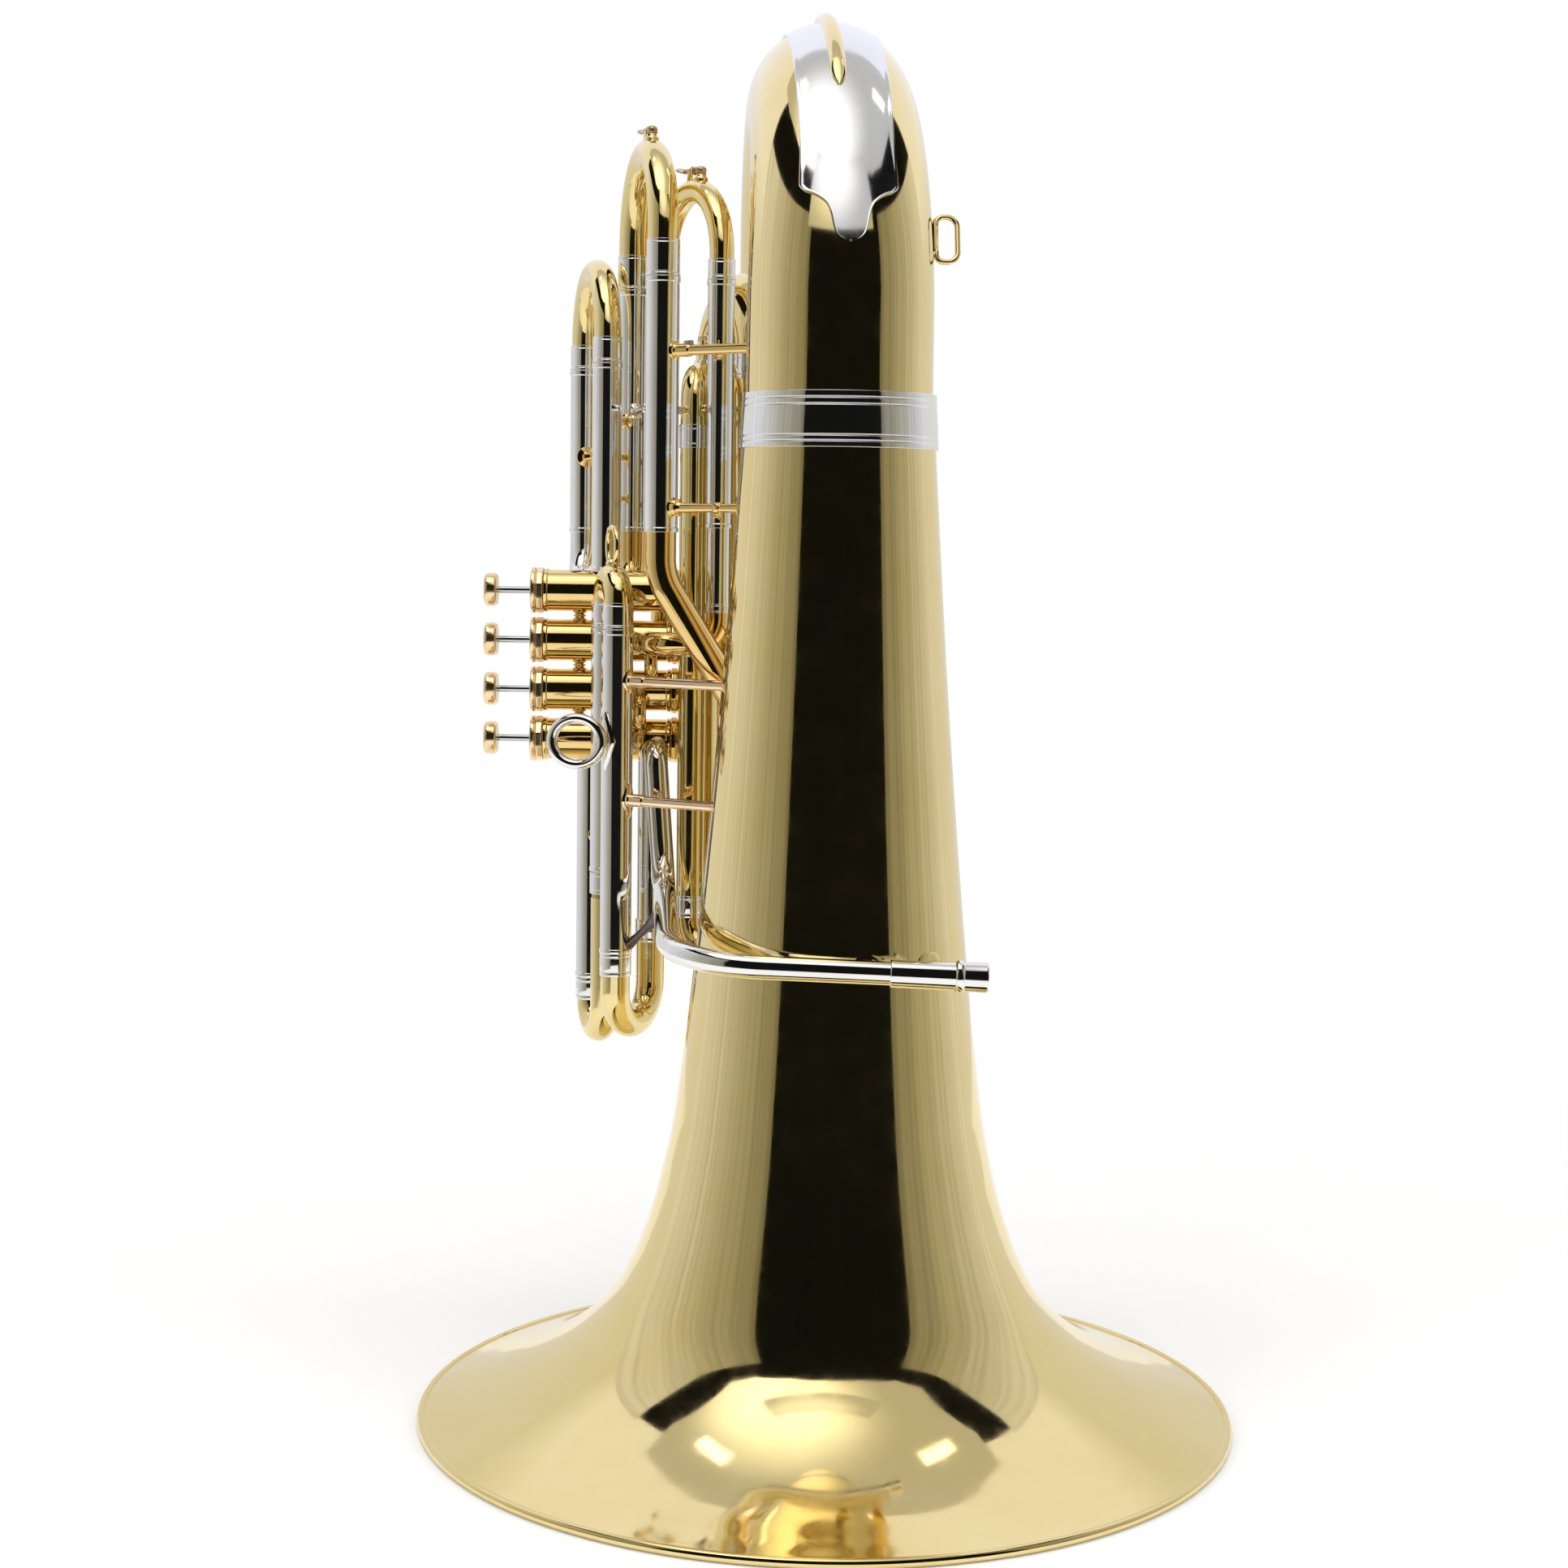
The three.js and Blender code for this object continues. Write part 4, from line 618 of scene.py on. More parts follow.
BOW_PLANE = math.radians(4.5)
ACROSS = at(-math.sin(BOW_PLANE), math.cos(BOW_PLANE), 0)
BOW_SIDE = at(math.cos(BOW_PLANE), math.sin(BOW_PLANE), 0)
BOW_SPAN = 260.0
BOW_ARC = BOW_SPAN / 2
BOW_ARC_HEIGHT = 693.0
BOW_START, BOW_SHOULDER, BOW_APEX, BOW_END = 57.0, 56.6, 50.0, 43.5
BOW_END_HEIGHT = 640.0
OUTER_AXIS = ACROSS * BOW_SPAN
BOW_ROUTE = u_route(BELL_AXIS, OUTER_AXIS, BOW_ARC_HEIGHT, 1, BELL_HEIGHT + 0.3, BOW_END_HEIGHT)
BOW_STRAIGHT = BOW_ARC_HEIGHT - BELL_HEIGHT - 0.3
BOW_TURN = math.pi * BOW_ARC
BOW_MARKS = [
    (0, BOW_START), (BOW_STRAIGHT, BOW_SHOULDER), (BOW_STRAIGHT + BOW_TURN / 2, BOW_APEX),
    (BOW_ROUTE.length, BOW_END),
]
piece("main_bow_tube", tube(BOW_ROUTE, BOW_MARKS, BOW_SIDES), "yellow", ["main_bow"])

GUARD_HALF = math.radians(33)
GUARD_SHARES = (
    (0.046, 0.0), (0.0475, 0.12), (0.051, 0.22), (0.057, 0.29), (0.066, 0.33), (0.076, 0.37),
    (0.086, 0.45), (0.093, 0.58), (0.098, 0.72), (0.102, 0.86), (0.108, 0.945), (0.113, 0.95),
    (0.16, 0.925), (0.25, 0.955), (0.38, 1.0), (0.5, 1.02),
)
WIRE_TURN = math.radians(-3.5)
WIRE_HALF = math.radians(5.4)
WIRE_SHARES = (
    (0.231, 0.0), (0.234, 0.3), (0.24, 0.62), (0.248, 0.86), (0.258, 0.98), (0.275, 1.0),
    (0.35, 1.0), (0.5, 1.05),
)
WIRE_HEIGHT = 5.2
GUARD_THICKNESS = 1.0


def both_ways(shares):
    return list(shares) + [(1 - place, width) for place, width in reversed(shares[:-1])]


def smooth_width(shares, place):
    """Width at a place, on a curve through the pairs that keeps their corners soft."""
    for i, (low, high) in enumerate(zip(shares, shares[1:])):
        if place <= high[0]:
            t = (place - low[0]) / (high[0] - low[0])
            before = shares[max(i - 1, 0)]
            after = shares[min(i + 2, len(shares) - 1)]
            gap = high[0] - low[0]
            slope_low = (high[1] - before[1]) / max(high[0] - before[0], TINY) * gap
            slope_high = (after[1] - low[1]) / max(after[0] - low[0], TINY) * gap
            value = (
                (2 * t**3 - 3 * t**2 + 1) * low[1] + (t**3 - 2 * t**2 + t) * slope_low
                + (3 * t**2 - 2 * t**3) * high[1] + (t**3 - t**2) * slope_high
            )
            return max(0.0, value)
    return shares[-1][1]


def bow_shell(shares, half, centre, lift, height, ribs, fine, edge=0.0):
    """A shell on the outside of the bow; height(across, place) is its thickness."""
    shares = both_ways(shares)
    places = []
    for low, high in zip(shares, shares[1:]):
        count = max(fine, round((high[0] - low[0]) * 140))
        places.extend(mix(low[0], high[0], i / count) for i in range(count))
    places.append(shares[-1][0])
    rows = []
    points = []
    for place in places:
        s = BOW_STRAIGHT + BOW_TURN * place
        spot, tangent = BOW_ROUTE.at(s)
        outward = -tangent.cross(BOW_SIDE)
        radius = interpolate(BOW_MARKS, s)[1]
        width = smooth_width(shares, place)
        row = []
        for layer in (1, 0):
            for k in range(ribs + 1):
                across = -math.cos(math.pi * k / ribs)
                turn = centre + across * half * width
                reach = radius + lift + (height(across, place) if layer else -lift - 0.3)
                row.append(len(points))
                points.append(
                    spot + outward * (reach * math.cos(turn)) + BOW_SIDE * (reach * math.sin(turn))
                )
        rows.append(row)
    faces = []
    size = ribs + 1
    for one, two in zip(rows, rows[1:]):
        for k in range(ribs):
            faces.append((one[k], one[k + 1], two[k + 1], two[k]))
            faces.append((one[size + k + 1], one[size + k], two[size + k], two[size + k + 1]))
        faces.append((one[0], two[0], two[size], one[size]))
        faces.append((one[ribs], one[size + ribs], two[size + ribs], two[ribs]))
    for row in (rows[0], rows[-1]):
        for k in range(ribs):
            faces.append((row[k], row[k + 1], row[size + k + 1], row[size + k]))
    return points, faces


def guard_height(across, place):
    """An even plate whose border rises into a fine rounded lip."""
    lip = max(0.0, 1 - (1 - abs(across)) / 0.09)
    return GUARD_THICKNESS + 0.35 * math.sin(math.pi * min(1.0, lip)) - 0.5 * max(0.0, lip - 0.7) / 0.3


def wire_height(across, place):
    """Half round, and cut to a leaf-shaped slope at both tips."""
    from_tip = min(place, 1 - place) - WIRE_SHARES[0][0]
    slope = max(0.0, min(1.0, from_tip / 0.034))
    return 0.4 + WIRE_HEIGHT * slope**0.7 * math.sqrt(max(0.0, 1 - across**2 * 0.98))


guard = bow_shell(GUARD_SHARES, GUARD_HALF, 0.0, 0.8, guard_height, 40, 6)
piece("bow_guard_cap", guard, "guard", ["bow_guard"])
wire = bow_shell(WIRE_SHARES, WIRE_HALF, WIRE_TURN, 1.8, wire_height, 20, 6)
piece("bow_guard_wire", wire, "yellow", ["guard_wire"])

# Branches behind the bell

INNER = at(-71, 196, 0)
THIRD = at(-48, 128, 0)
LOOP_REAR = at(-86, 157, 0)
LOOP_FRONT = at(-92, 123, 0)
FEED = at(-60, 86, 0)
LOWER_BOW_Z, INNER_BOW_Z, SMALL_BOW_Z, FEED_BOW_Z, LOOP_TOP_Z = 285.0, 664.0, 300.0, 295.0, 634.0
RING_LENGTH = 15.0


def joint_ring(name, axis, low, high, radius_low, radius_high, rise=1.0, sides=72, nodes=(), body=HORN):
    """A nickel ferrule over a joint, with a fine double line near each end."""
    length = high - low

    def outside(z):
        return mix(radius_low, radius_high, (z - low) / length) + rise

    inset = min(2.4, length * 0.16)
    profile = [(low, outside(low) - rise - 0.6), (low, outside(low))]
    for z in (low + inset, high - inset - 0.6):
        profile += [(z, outside(z)), (z + 0.15, outside(z) - 0.3), (z + 0.45, outside(z) - 0.3),
                    (z + 0.6, outside(z))]
    profile += [(high, outside(high)), (high, outside(high) - rise - 0.6)]
    return piece(name, turned(soften(profile, 0.22), axis, UP, sides), "nickel", nodes, body)


def upright(name, axis, low, high, radius_low, radius_high, finish, nodes, sides=72, hollow=False):
    route = Route([level(axis, low), level(axis, high)])
    marks = [(0, radius_low), (route.length, radius_high)]
    return piece(name, tube(route, marks, sides, hollow), finish, nodes)


def half_bow(name, a, b, height, way, radius_a, radius_b, nodes):
    route = u_route(a, b, height, way, height, height)
    marks = [(0, radius_a), (route.length, radius_b)]
    return piece(name, tube(route, marks, 72), "yellow", nodes)


upright("outer_branch_tube", OUTER_AXIS, LOWER_BOW_Z, BOW_END_HEIGHT, 34, BOW_END, "yellow", ["outer_branch"])
half_bow("lower_bow_tube", OUTER_AXIS, INNER, LOWER_BOW_Z, -1, 34, 28, ["lower_bow"])
upright("inner_branch_tube", INNER, LOWER_BOW_Z, INNER_BOW_Z, 28, 23.5, "yellow", ["inner_branch"])
half_bow("inner_bow_tube", INNER, THIRD, INNER_BOW_Z, 1, 23.5, 19, ["inner_bow"])
upright("third_branch_tube", THIRD, SMALL_BOW_Z, INNER_BOW_Z, 14.5, 19, "yellow", ["third_branch"])
joint_ring("outer_top_ring", OUTER_AXIS, 625, 641, 42.9, 43.7)
joint_ring("outer_low_ring", OUTER_AXIS, 284, 300, 34, 34.4)
joint_ring("inner_low_ring", INNER, 284, 300, 28, 27.8)
joint_ring("inner_top_ring", INNER, 649, 665, 23.7, 23.5)
joint_ring("third_top_ring", THIRD, 649, 665, 18.9, 19)
joint_ring("third_low_ring", THIRD, 299, 315, 14.5, 14.7)


def small_loop_shape():
    low = (THIRD - LOOP_REAR).length / 2
    top = (LOOP_REAR - LOOP_FRONT).length / 2
    points = [
        level(THIRD, SMALL_BOW_Z), level(THIRD, SMALL_BOW_Z - low), level(LOOP_REAR, SMALL_BOW_Z - low),
        level(LOOP_REAR, LOOP_TOP_Z + top), level(LOOP_FRONT, LOOP_TOP_Z + top),
        level(LOOP_FRONT, FEED_BOW_Z),
    ]
    route = Route(points, [low, low, top, top])
    marks = [(0, 14.5), (math.pi * low, 11.3), (math.pi * low + LOOP_TOP_Z - SMALL_BOW_Z, 9.2),
             (route.length, 9.2)]
    return tube(route, marks)


def feed_shape():
    low = (LOOP_FRONT - FEED).length / 2
    points = [
        level(LOOP_FRONT, FEED_BOW_Z), level(LOOP_FRONT, FEED_BOW_Z - low), level(FEED, FEED_BOW_Z - low),
        level(FEED, 436), level(MAIN_NEAR, 520), level(MAIN_NEAR, MAIN_SLEEVE_END),
    ]
    route = Route(points, [low, low, 42, 42])
    return tube(route, [(0, 9.2), (math.pi * low, 9.8), (route.length, 9.9)])


MAIN_NEAR = at(-111.5, 84, 0)
MAIN_FAR = at(-136.6, 191, 0)
MAIN_SLEEVE_END = 549.0
piece("small_loop_tube", small_loop_shape(), "yellow", ["small_loop"])
piece("feed_tube_bend", feed_shape(), "deep", ["feed_tube"])
joint_ring("loop_top_ring", LOOP_FRONT, LOOP_TOP_Z - 30, LOOP_TOP_Z - 15, 9.2, 9.2, 0.8, 48)
joint_ring("loop_low_ring", LOOP_FRONT, FEED_BOW_Z - 0.5, FEED_BOW_Z + 14, 9.2, 9.2, 0.8, 48)
joint_ring("loop_rear_ring", LOOP_REAR, LOOP_TOP_Z - 15, LOOP_TOP_Z, 9.3, 9.2, 0.8, 48)

# Slides and their sleeves


def sleeve(name, axis, low, high, radius, nodes, mouth_up=True, finish="nickel"):
    """An outer slide tube: a rolled ring at its mouth and a solder ring at its foot."""
    profile = [(low, radius - WALL), (low, radius + 0.5), (low + 2.6, radius + 0.5), (low + 3.0, radius),
               (high - 3.4, radius), (high - 3.0, radius + 0.55), (high, radius + 0.55),
               (high, radius - WALL)]
    if not mouth_up:
        profile = [(high + low - place, reach) for place, reach in profile]
    return piece(name, turned(soften(profile, 0.3), axis, UP), finish, nodes)


def slide_ferrule(name, axis, low, high, radius, body):
    """The ferrule between a slide's bow and leg: lines near the top, a bead at the foot."""
    profile = [
        (low, radius - 2), (low, radius + 0.35), (low + 1.5, radius + 0.35), (low + 1.8, radius - 0.15),
        (low + 2.5, radius - 0.15), (low + 2.8, radius), (high - 2.4, radius), (high - 2.1, radius - 0.25),
        (high - 1.8, radius), (high, radius), (high, radius - 2),
    ]
    return piece(name, turned(soften(profile, 0.22), axis, UP), "nickel", (), body)


def slide(prefix, a, b, height, radius, leg, ferrule, node, body, bare=0.0):
    """A moving U slide: brass bow, two ferrules and two bare inner legs.

    The ferrules stop short of the bow's bend by the length that is left bare.
    """
    route = u_route(a, b, height, 1, height - bare - 2, height - bare - 2)
    piece(prefix + "_bow", tube(route, even(route, radius - 0.8)), "yellow", [node], body)
    for side, axis in (("near", a), ("far", b)):
        slide_ferrule(f"{prefix}_{side}_ferrule", axis, height - ferrule, height - bare, radius, body)
        low = height - ferrule - leg
        legs = Route([level(axis, low), level(axis, height - ferrule + 1)])
        piece(f"{prefix}_{side}_leg", tube(legs, even(legs, radius - 1.5), TUBE_SIDES, True), "nickel", (), body)


MAIN_BOW_Z, MAIN_RADIUS, MAIN_MOUTH = 739.0, 10.7, 710.7
slide("main_slide", MAIN_NEAR, MAIN_FAR, MAIN_BOW_Z, MAIN_RADIUS, 110, 28, "main_slide", "main_slide_body", 5)
sleeve("main_near_sleeve", MAIN_NEAR, MAIN_SLEEVE_END, MAIN_MOUTH, MAIN_RADIUS, ["main_sleeve_near"])
sleeve("main_far_sleeve", MAIN_FAR, MAIN_SLEEVE_END, MAIN_MOUTH, MAIN_RADIUS, ["main_sleeve_far"])

VALVE_Y, VALVE_FIRST_Z, VALVE_PITCH, VALVE_BASE_X = 150.0, 409.8, 33.1, -107.0
CASING_LENGTH, CASING_RADIUS, CAP_RADIUS = 85.0, 13.7, 15.3


def valve_z(number):
    return VALVE_FIRST_Z + VALVE_PITCH * (number - 1)


PORT_REAR = VALVE_Y + CASING_RADIUS - 1
PORT_FRONT = VALVE_Y - CASING_RADIUS + 1
TOP_Z = valve_z(4)


def bent(name, points, bends, radius, finish, nodes=(), sides=TUBE_SIDES):
    route = Route(points, bends)
    return piece(name, tube(route, even(route, radius), sides), finish, nodes)


bent("main_far_bend", [level(MAIN_FAR, MAIN_SLEEVE_END + 2), level(MAIN_FAR, TOP_Z),
                       at(MAIN_FAR.x, PORT_REAR, TOP_Z)], 24, 9.9, "deep")

FOURTH_NEAR = at(-151, VALVE_Y, 0)
FOURTH_FAR = at(-173, 238, 0)
FOURTH_BOW_Z, FOURTH_RADIUS, FOURTH_MOUTH = 677.0, 9.8, 659.7
slide("fourth_slide", FOURTH_NEAR, FOURTH_FAR, FOURTH_BOW_Z, FOURTH_RADIUS, 90, 17, "fourth_slide",
      "fourth_slide_body")
sleeve("fourth_near_sleeve", FOURTH_NEAR, TOP_Z + CASING_RADIUS - 1, FOURTH_MOUTH, FOURTH_RADIUS,
       ["fourth_sleeve_near"])
sleeve("fourth_far_sleeve", FOURTH_FAR, 548, FOURTH_MOUTH, FOURTH_RADIUS, ["fourth_sleeve_far"])
bent("fourth_far_bend", [level(FOURTH_FAR, 550), level(FOURTH_FAR, TOP_Z), at(FOURTH_FAR.x, PORT_REAR, TOP_Z)],
     34, 9.4, "nickel")

THIRD_RIGHT = at(-74.8, 104, 0)
THIRD_LEFT = at(-114.8, 181, 0)
THIRD_BOW_Z, THIRD_RADIUS, THIRD_MOUTH, THIRD_END = 728.0, 8.7, 710.7, 552.0
THIRD_KNUCKLE, THIRD_PORT_X = 7.8, -120.0
slide("third_slide", THIRD_RIGHT, THIRD_LEFT, THIRD_BOW_Z, THIRD_RADIUS, 90, 17, "third_slide",
      "third_slide_body", 4)
sleeve("third_right_sleeve", THIRD_RIGHT, THIRD_END, THIRD_MOUTH, THIRD_RADIUS, ["third_sleeve_right"])
sleeve("third_left_sleeve", THIRD_LEFT, THIRD_END, THIRD_MOUTH, THIRD_RADIUS, ["third_sleeve_left"])
Z3 = valve_z(3)
for side, axis in (("right", THIRD_RIGHT), ("left", THIRD_LEFT)):
    joint_ring(f"third_{side}_ring", axis, 497, 503, THIRD_KNUCKLE, THIRD_KNUCKLE, 0.7, 48)
    low_part = Route([level(axis, 500), level(axis, THIRD_END + 2)])
    piece(f"third_{side}_lower_tube", tube(low_part, even(low_part, THIRD_KNUCKLE)), "nickel")
bent("third_right_elbow", [level(THIRD_RIGHT, 501), level(THIRD_RIGHT, Z3), at(THIRD_PORT_X, 104, Z3),
                           at(THIRD_PORT_X, PORT_FRONT, Z3)], 18, THIRD_KNUCKLE, "deep")
bent("third_left_elbow", [level(THIRD_LEFT, 501), level(THIRD_LEFT, Z3), at(THIRD_LEFT.x, PORT_REAR, Z3)],
     11, THIRD_KNUCKLE, "deep")

FIRST_FRONT = at(-139.5, 95, 0)
FIRST_MIDDLE = at(-148.5, 124.5, 0)
FIRST_LEFT = at(-160, 158, 0)
FIRST_RIGHT = at(-119, 140, 0)
FIRST_RADIUS, FIRST_TOP_Z, FIRST_MOUTH = 10.3, 503.0, 485.7
FIRST_FRONT_END, FIRST_MIDDLE_END, FIRST_LEFT_END, FIRST_RIGHT_END = 274.0, 324.0, 247.0, 290.0
FIRST_LOW_Z, FIRST_FIXED_Z = 233.0, 248.0
LOW_PORT_Z = valve_z(1) - CASING_RADIUS + 1
slide("first_slide", FIRST_FRONT, FIRST_MIDDLE, FIRST_TOP_Z, FIRST_RADIUS, 62, 17, "first_slide",
      "first_slide_body")
sleeve("first_front_sleeve", FIRST_FRONT, FIRST_FRONT_END, FIRST_MOUTH, FIRST_RADIUS, ["first_sleeve_front"])
sleeve("first_middle_sleeve", FIRST_MIDDLE, FIRST_MIDDLE_END, FIRST_MOUTH, FIRST_RADIUS,
       ["first_sleeve_middle"])
sleeve("first_left_sleeve", FIRST_LEFT, FIRST_LEFT_END, LOW_PORT_Z, FIRST_RADIUS, ["first_sleeve_left"],
       mouth_up=False)

fixed = u_route(FIRST_FRONT, FIRST_RIGHT, FIRST_FIXED_Z, -1, FIRST_FRONT_END + 2, FIRST_RIGHT_END - 11)
piece("first_fixed_bow_tube", tube(fixed, even(fixed, FIRST_RADIUS - 0.8)), "yellow", ["first_fixed_bow"])
joint_ring("first_front_ring", FIRST_FRONT, FIRST_FRONT_END - 15, FIRST_FRONT_END, 9.5, 9.5, 0.9, 48)
joint_ring("first_right_ring", FIRST_RIGHT, FIRST_RIGHT_END - 15, FIRST_RIGHT_END, 9.5, 9.5, 0.9, 48)
BORE_WALL = CASING_RADIUS - 0.9


def out_of_bore(shape, z, way):
    """Moves what stands in a valve's bore along way into its wall, and leaves the tube's ends open."""
    points, faces = shape
    axis = at(0, VALVE_Y, z)
    moved = []
    for point in points:
        away = at(0, point.y, point.z) - axis
        short = BORE_WALL ** 2 - away.length_squared
        if short > 0:
            along = away.dot(way)
            point = point + way * (math.sqrt(along * along + short) - along)
        moved.append(point)
    return moved, [face for face in faces if len(face) == 4]


def first_port(name, axis, low, radius, finish):
    """An upright tube with a domed end that meets the first valve's casing from below."""
    dome = [math.radians(degree) for degree in range(0, 90, 8)]
    straight = LOW_PORT_Z + 5 - low
    marks = [(0, radius), (LOW_PORT_Z - low, radius)]
    marks += [(straight + radius * math.sin(turn), radius * math.cos(turn)) for turn in dome]
    route = Route([level(axis, low), level(axis, low + straight + radius)])
    piece(name, out_of_bore(tube(route, marks), valve_z(1), at(0, 0, -1)), finish)


first_port("first_right_leg", FIRST_RIGHT, FIRST_RIGHT_END - 13, 9.3, "nickel")
first_port("first_left_port", FIRST_LEFT, LOW_PORT_Z - 2, 9.8, "deep")

low_route = u_route(FIRST_MIDDLE, FIRST_LEFT, FIRST_LOW_Z, -1, 306, FIRST_LEFT_END - 12)
piece("first_low_bow", tube(low_route, even(low_route, FIRST_RADIUS - 0.8)), "yellow", ["first_low_slide"],
      "first_low_slide_body")
for side, axis, end in (("middle", FIRST_MIDDLE, FIRST_MIDDLE_END), ("left", FIRST_LEFT, FIRST_LEFT_END)):
    joint_ring(f"first_low_{side}_ferrule", axis, end - 15, end - 0.6, FIRST_RADIUS - 0.6, FIRST_RADIUS - 0.6,
               0.7, 48, (), "first_low_slide_body")
    legs = Route([level(axis, end - 2), level(axis, end + 75)])
    piece(f"first_low_{side}_leg", tube(legs, even(legs, FIRST_RADIUS - 1.5), TUBE_SIDES, True), "nickel", (),
          "first_low_slide_body")

PULL_RING, PULL_WIRE = 12.5, 2.2
pull_arc = (FIRST_MIDDLE - FIRST_FRONT).length / 2
pull_centre = level((FIRST_FRONT + FIRST_MIDDLE) / 2, FIRST_TOP_Z + pull_arc + 9.5 + PULL_RING - 1.1)
pull_axis = between(FIRST_FRONT, FIRST_MIDDLE).cross(UP)
pull_foot = level(pull_centre, FIRST_TOP_Z + pull_arc + 8.4)
piece("first_slide_pull_ring", ring_shape(pull_centre, pull_axis, PULL_RING, 2.0, PULL_WIRE), "yellow", (),
      "first_slide_body")
piece("first_slide_pull_foot", solid([(0, 4.6), (2.2, 4.6), (4, 2.6), (5.5, 2.6)], pull_foot, UP), "yellow", (),
      "first_slide_body")

SECOND_RIGHT_X, SECOND_LEFT_X, SECOND_RADIUS = -135.0, -165.0, 8.4
Z2 = valve_z(2)
SECOND_MOUTH = VALVE_Y + CASING_RADIUS + 50
second_arc = (SECOND_RIGHT_X - SECOND_LEFT_X) / 2
second_corner = SECOND_MOUTH + 17.3 + second_arc
second_route = Route([
    at(SECOND_RIGHT_X, SECOND_MOUTH + 16, Z2), at(SECOND_RIGHT_X, second_corner, Z2),
    at(SECOND_LEFT_X, second_corner, Z2), at(SECOND_LEFT_X, SECOND_MOUTH + 16, Z2),
], second_arc)
piece("second_slide_bow", tube(second_route, even(second_route, 7.6)), "yellow", ["second_slide"],
      "second_slide_body")
for side, x in (("right", SECOND_RIGHT_X), ("left", SECOND_LEFT_X)):
    foot = at(x, VALVE_Y + CASING_RADIUS - 1, Z2)
    length = SECOND_MOUTH - foot.y
    sheath = [(0, SECOND_RADIUS - WALL), (0, SECOND_RADIUS + 1.4), (2.5, SECOND_RADIUS + 1.4),
              (3.2, SECOND_RADIUS), (length - 3, SECOND_RADIUS), (length - 2.6, SECOND_RADIUS + 0.5),
              (length, SECOND_RADIUS + 0.5), (length, SECOND_RADIUS - WALL)]
    piece(f"second_{side}_sleeve", turned(soften(sheath, 0.3), foot, REAR), "nickel")
    bush = [(0.3, 6), (0.3, SECOND_RADIUS + 0.3), (2, SECOND_RADIUS + 0.3), (2.4, SECOND_RADIUS),
            (17, SECOND_RADIUS), (17, 6)]
    piece(f"second_{side}_ferrule", turned(soften(bush, 0.22), at(x, SECOND_MOUTH, Z2), REAR), "nickel", (),
          "second_slide_body")
    legs = Route([at(x, SECOND_MOUTH - 45, Z2), at(x, SECOND_MOUTH + 2, Z2)])
    piece(f"second_{side}_leg", tube(legs, even(legs, SECOND_RADIUS - 1.5), TUBE_SIDES, True), "nickel", (),
          "second_slide_body")

# Valves


def casing_shape(base):
    inner = CASING_RADIUS - 1.7
    ring = CASING_RADIUS + 0.7
    profile = [(0, inner), (0, ring), (2.2, ring), (2.7, CASING_RADIUS), (82.3, CASING_RADIUS), (82.8, ring),
               (85, ring), (85, inner)]
    return turned(soften(profile, 0.35), base, PLAYER, 72)


def baluster_shape(x, low):
    """A short turned post between two casings."""
    profile = [(-0.6, 4.9), (0.7, 4.9), (1.2, 3.6), (1.9, 2.9), (2.4, 4.2), (3.3, 4.2), (3.9, 2.9),
               (4.6, 3.6), (5.1, 4.9), (6.4, 4.9)]
    return solid(profile, at(x, VALVE_Y, low), UP, ROD_SIDES, 0.3)


def top_cap_shape(base):
    """Facets on the half towards the casing, then a rounded rim."""
    profile = [(85.3, 12.2), (85.3, 14.4), (86.0, 15.1), (89.6, 15.1), (90.3, 14.4), (90.6, 14.4),
               (90.9, 15.2), (92.2, 15.3), (93.4, 15.1), (93.8, 14.5), (93.8, 5.6), (93.0, 4.6), (93.0, 3.1),
               (91.6, 3.1), (91.6, 10.7), (81, 10.7), (81, 11.7), (85.3, 11.7)]
    return turned(soften(profile, 0.4), base, PLAYER, 96, facets=10, zone=(85.5, 90.4))


def bottom_cap_shape(base):
    profile = [(-0.3, 12.2), (-0.3, 14.6), (-0.9, 15.2), (-3.8, 15.2), (-4.4, 14.3), (-5.0, 14.3),
               (-5.5, 15.1), (-6.9, 15.2), (-7.8, 14.3), (-8, 13.4), (-8, 4.0), (-7.3, 3.0), (-5.6, 3.0),
               (-5.6, 10.7), (4, 10.7), (4, 11.7), (-0.3, 11.7)]
    return turned(soften(profile, 0.4), base, PLAYER, 96, facets=10, zone=(-4.2, -0.5))


def piston_shape(base):
    return solid([(29, 11.6), (32, 11.6), (32.4, 11.3), (33.4, 11.3), (33.8, 11.6), (75, 11.6), (75.4, 11.3),
                  (76.4, 11.3), (76.8, 11.6), (79, 11.6), (79, 4), (80, 2.3), (116.4, 2.3)],
                 base, PLAYER, TUBE_SIDES, 0.25)


def button_shape(base):
    """A thick disc with a broad soft edge, slightly hollow in the middle."""
    profile = [(116.2, 6.0), (116.4, 9.4), (117.4, 10.6), (119.0, 11.0), (122.4, 11.0), (124.1, 10.6),
               (125.0, 9.5), (125.2, 7.8), (124.9, 6.2), (124.6, 3.0)]
    return solid(profile, base, PLAYER, 64, 0.9)


def spring_shape(base, low, high, radius, wire, turns):
    points, faces = [], []
    steps = turns * 24
    for i in range(steps + 1):
        turn = 2 * math.pi * turns * i / steps
        share = i / steps
        place = low + wire + (high - low - 2 * wire) * share
        outward = at(0, math.cos(turn), math.sin(turn))
        for k in range(8):
            small = 2 * math.pi * k / 8
            points.append(base + PLAYER * (place + wire * math.sin(small))
                          + outward * (radius + wire * math.cos(small)))
    for i in range(steps):
        for k in range(8):
            j = (k + 1) % 8
            faces.append((i * 8 + k, i * 8 + j, (i + 1) * 8 + j, (i + 1) * 8 + k))
    faces.append(tuple(range(8)))
    faces.append(tuple(steps * 8 + k for k in range(8)))
    return points, faces


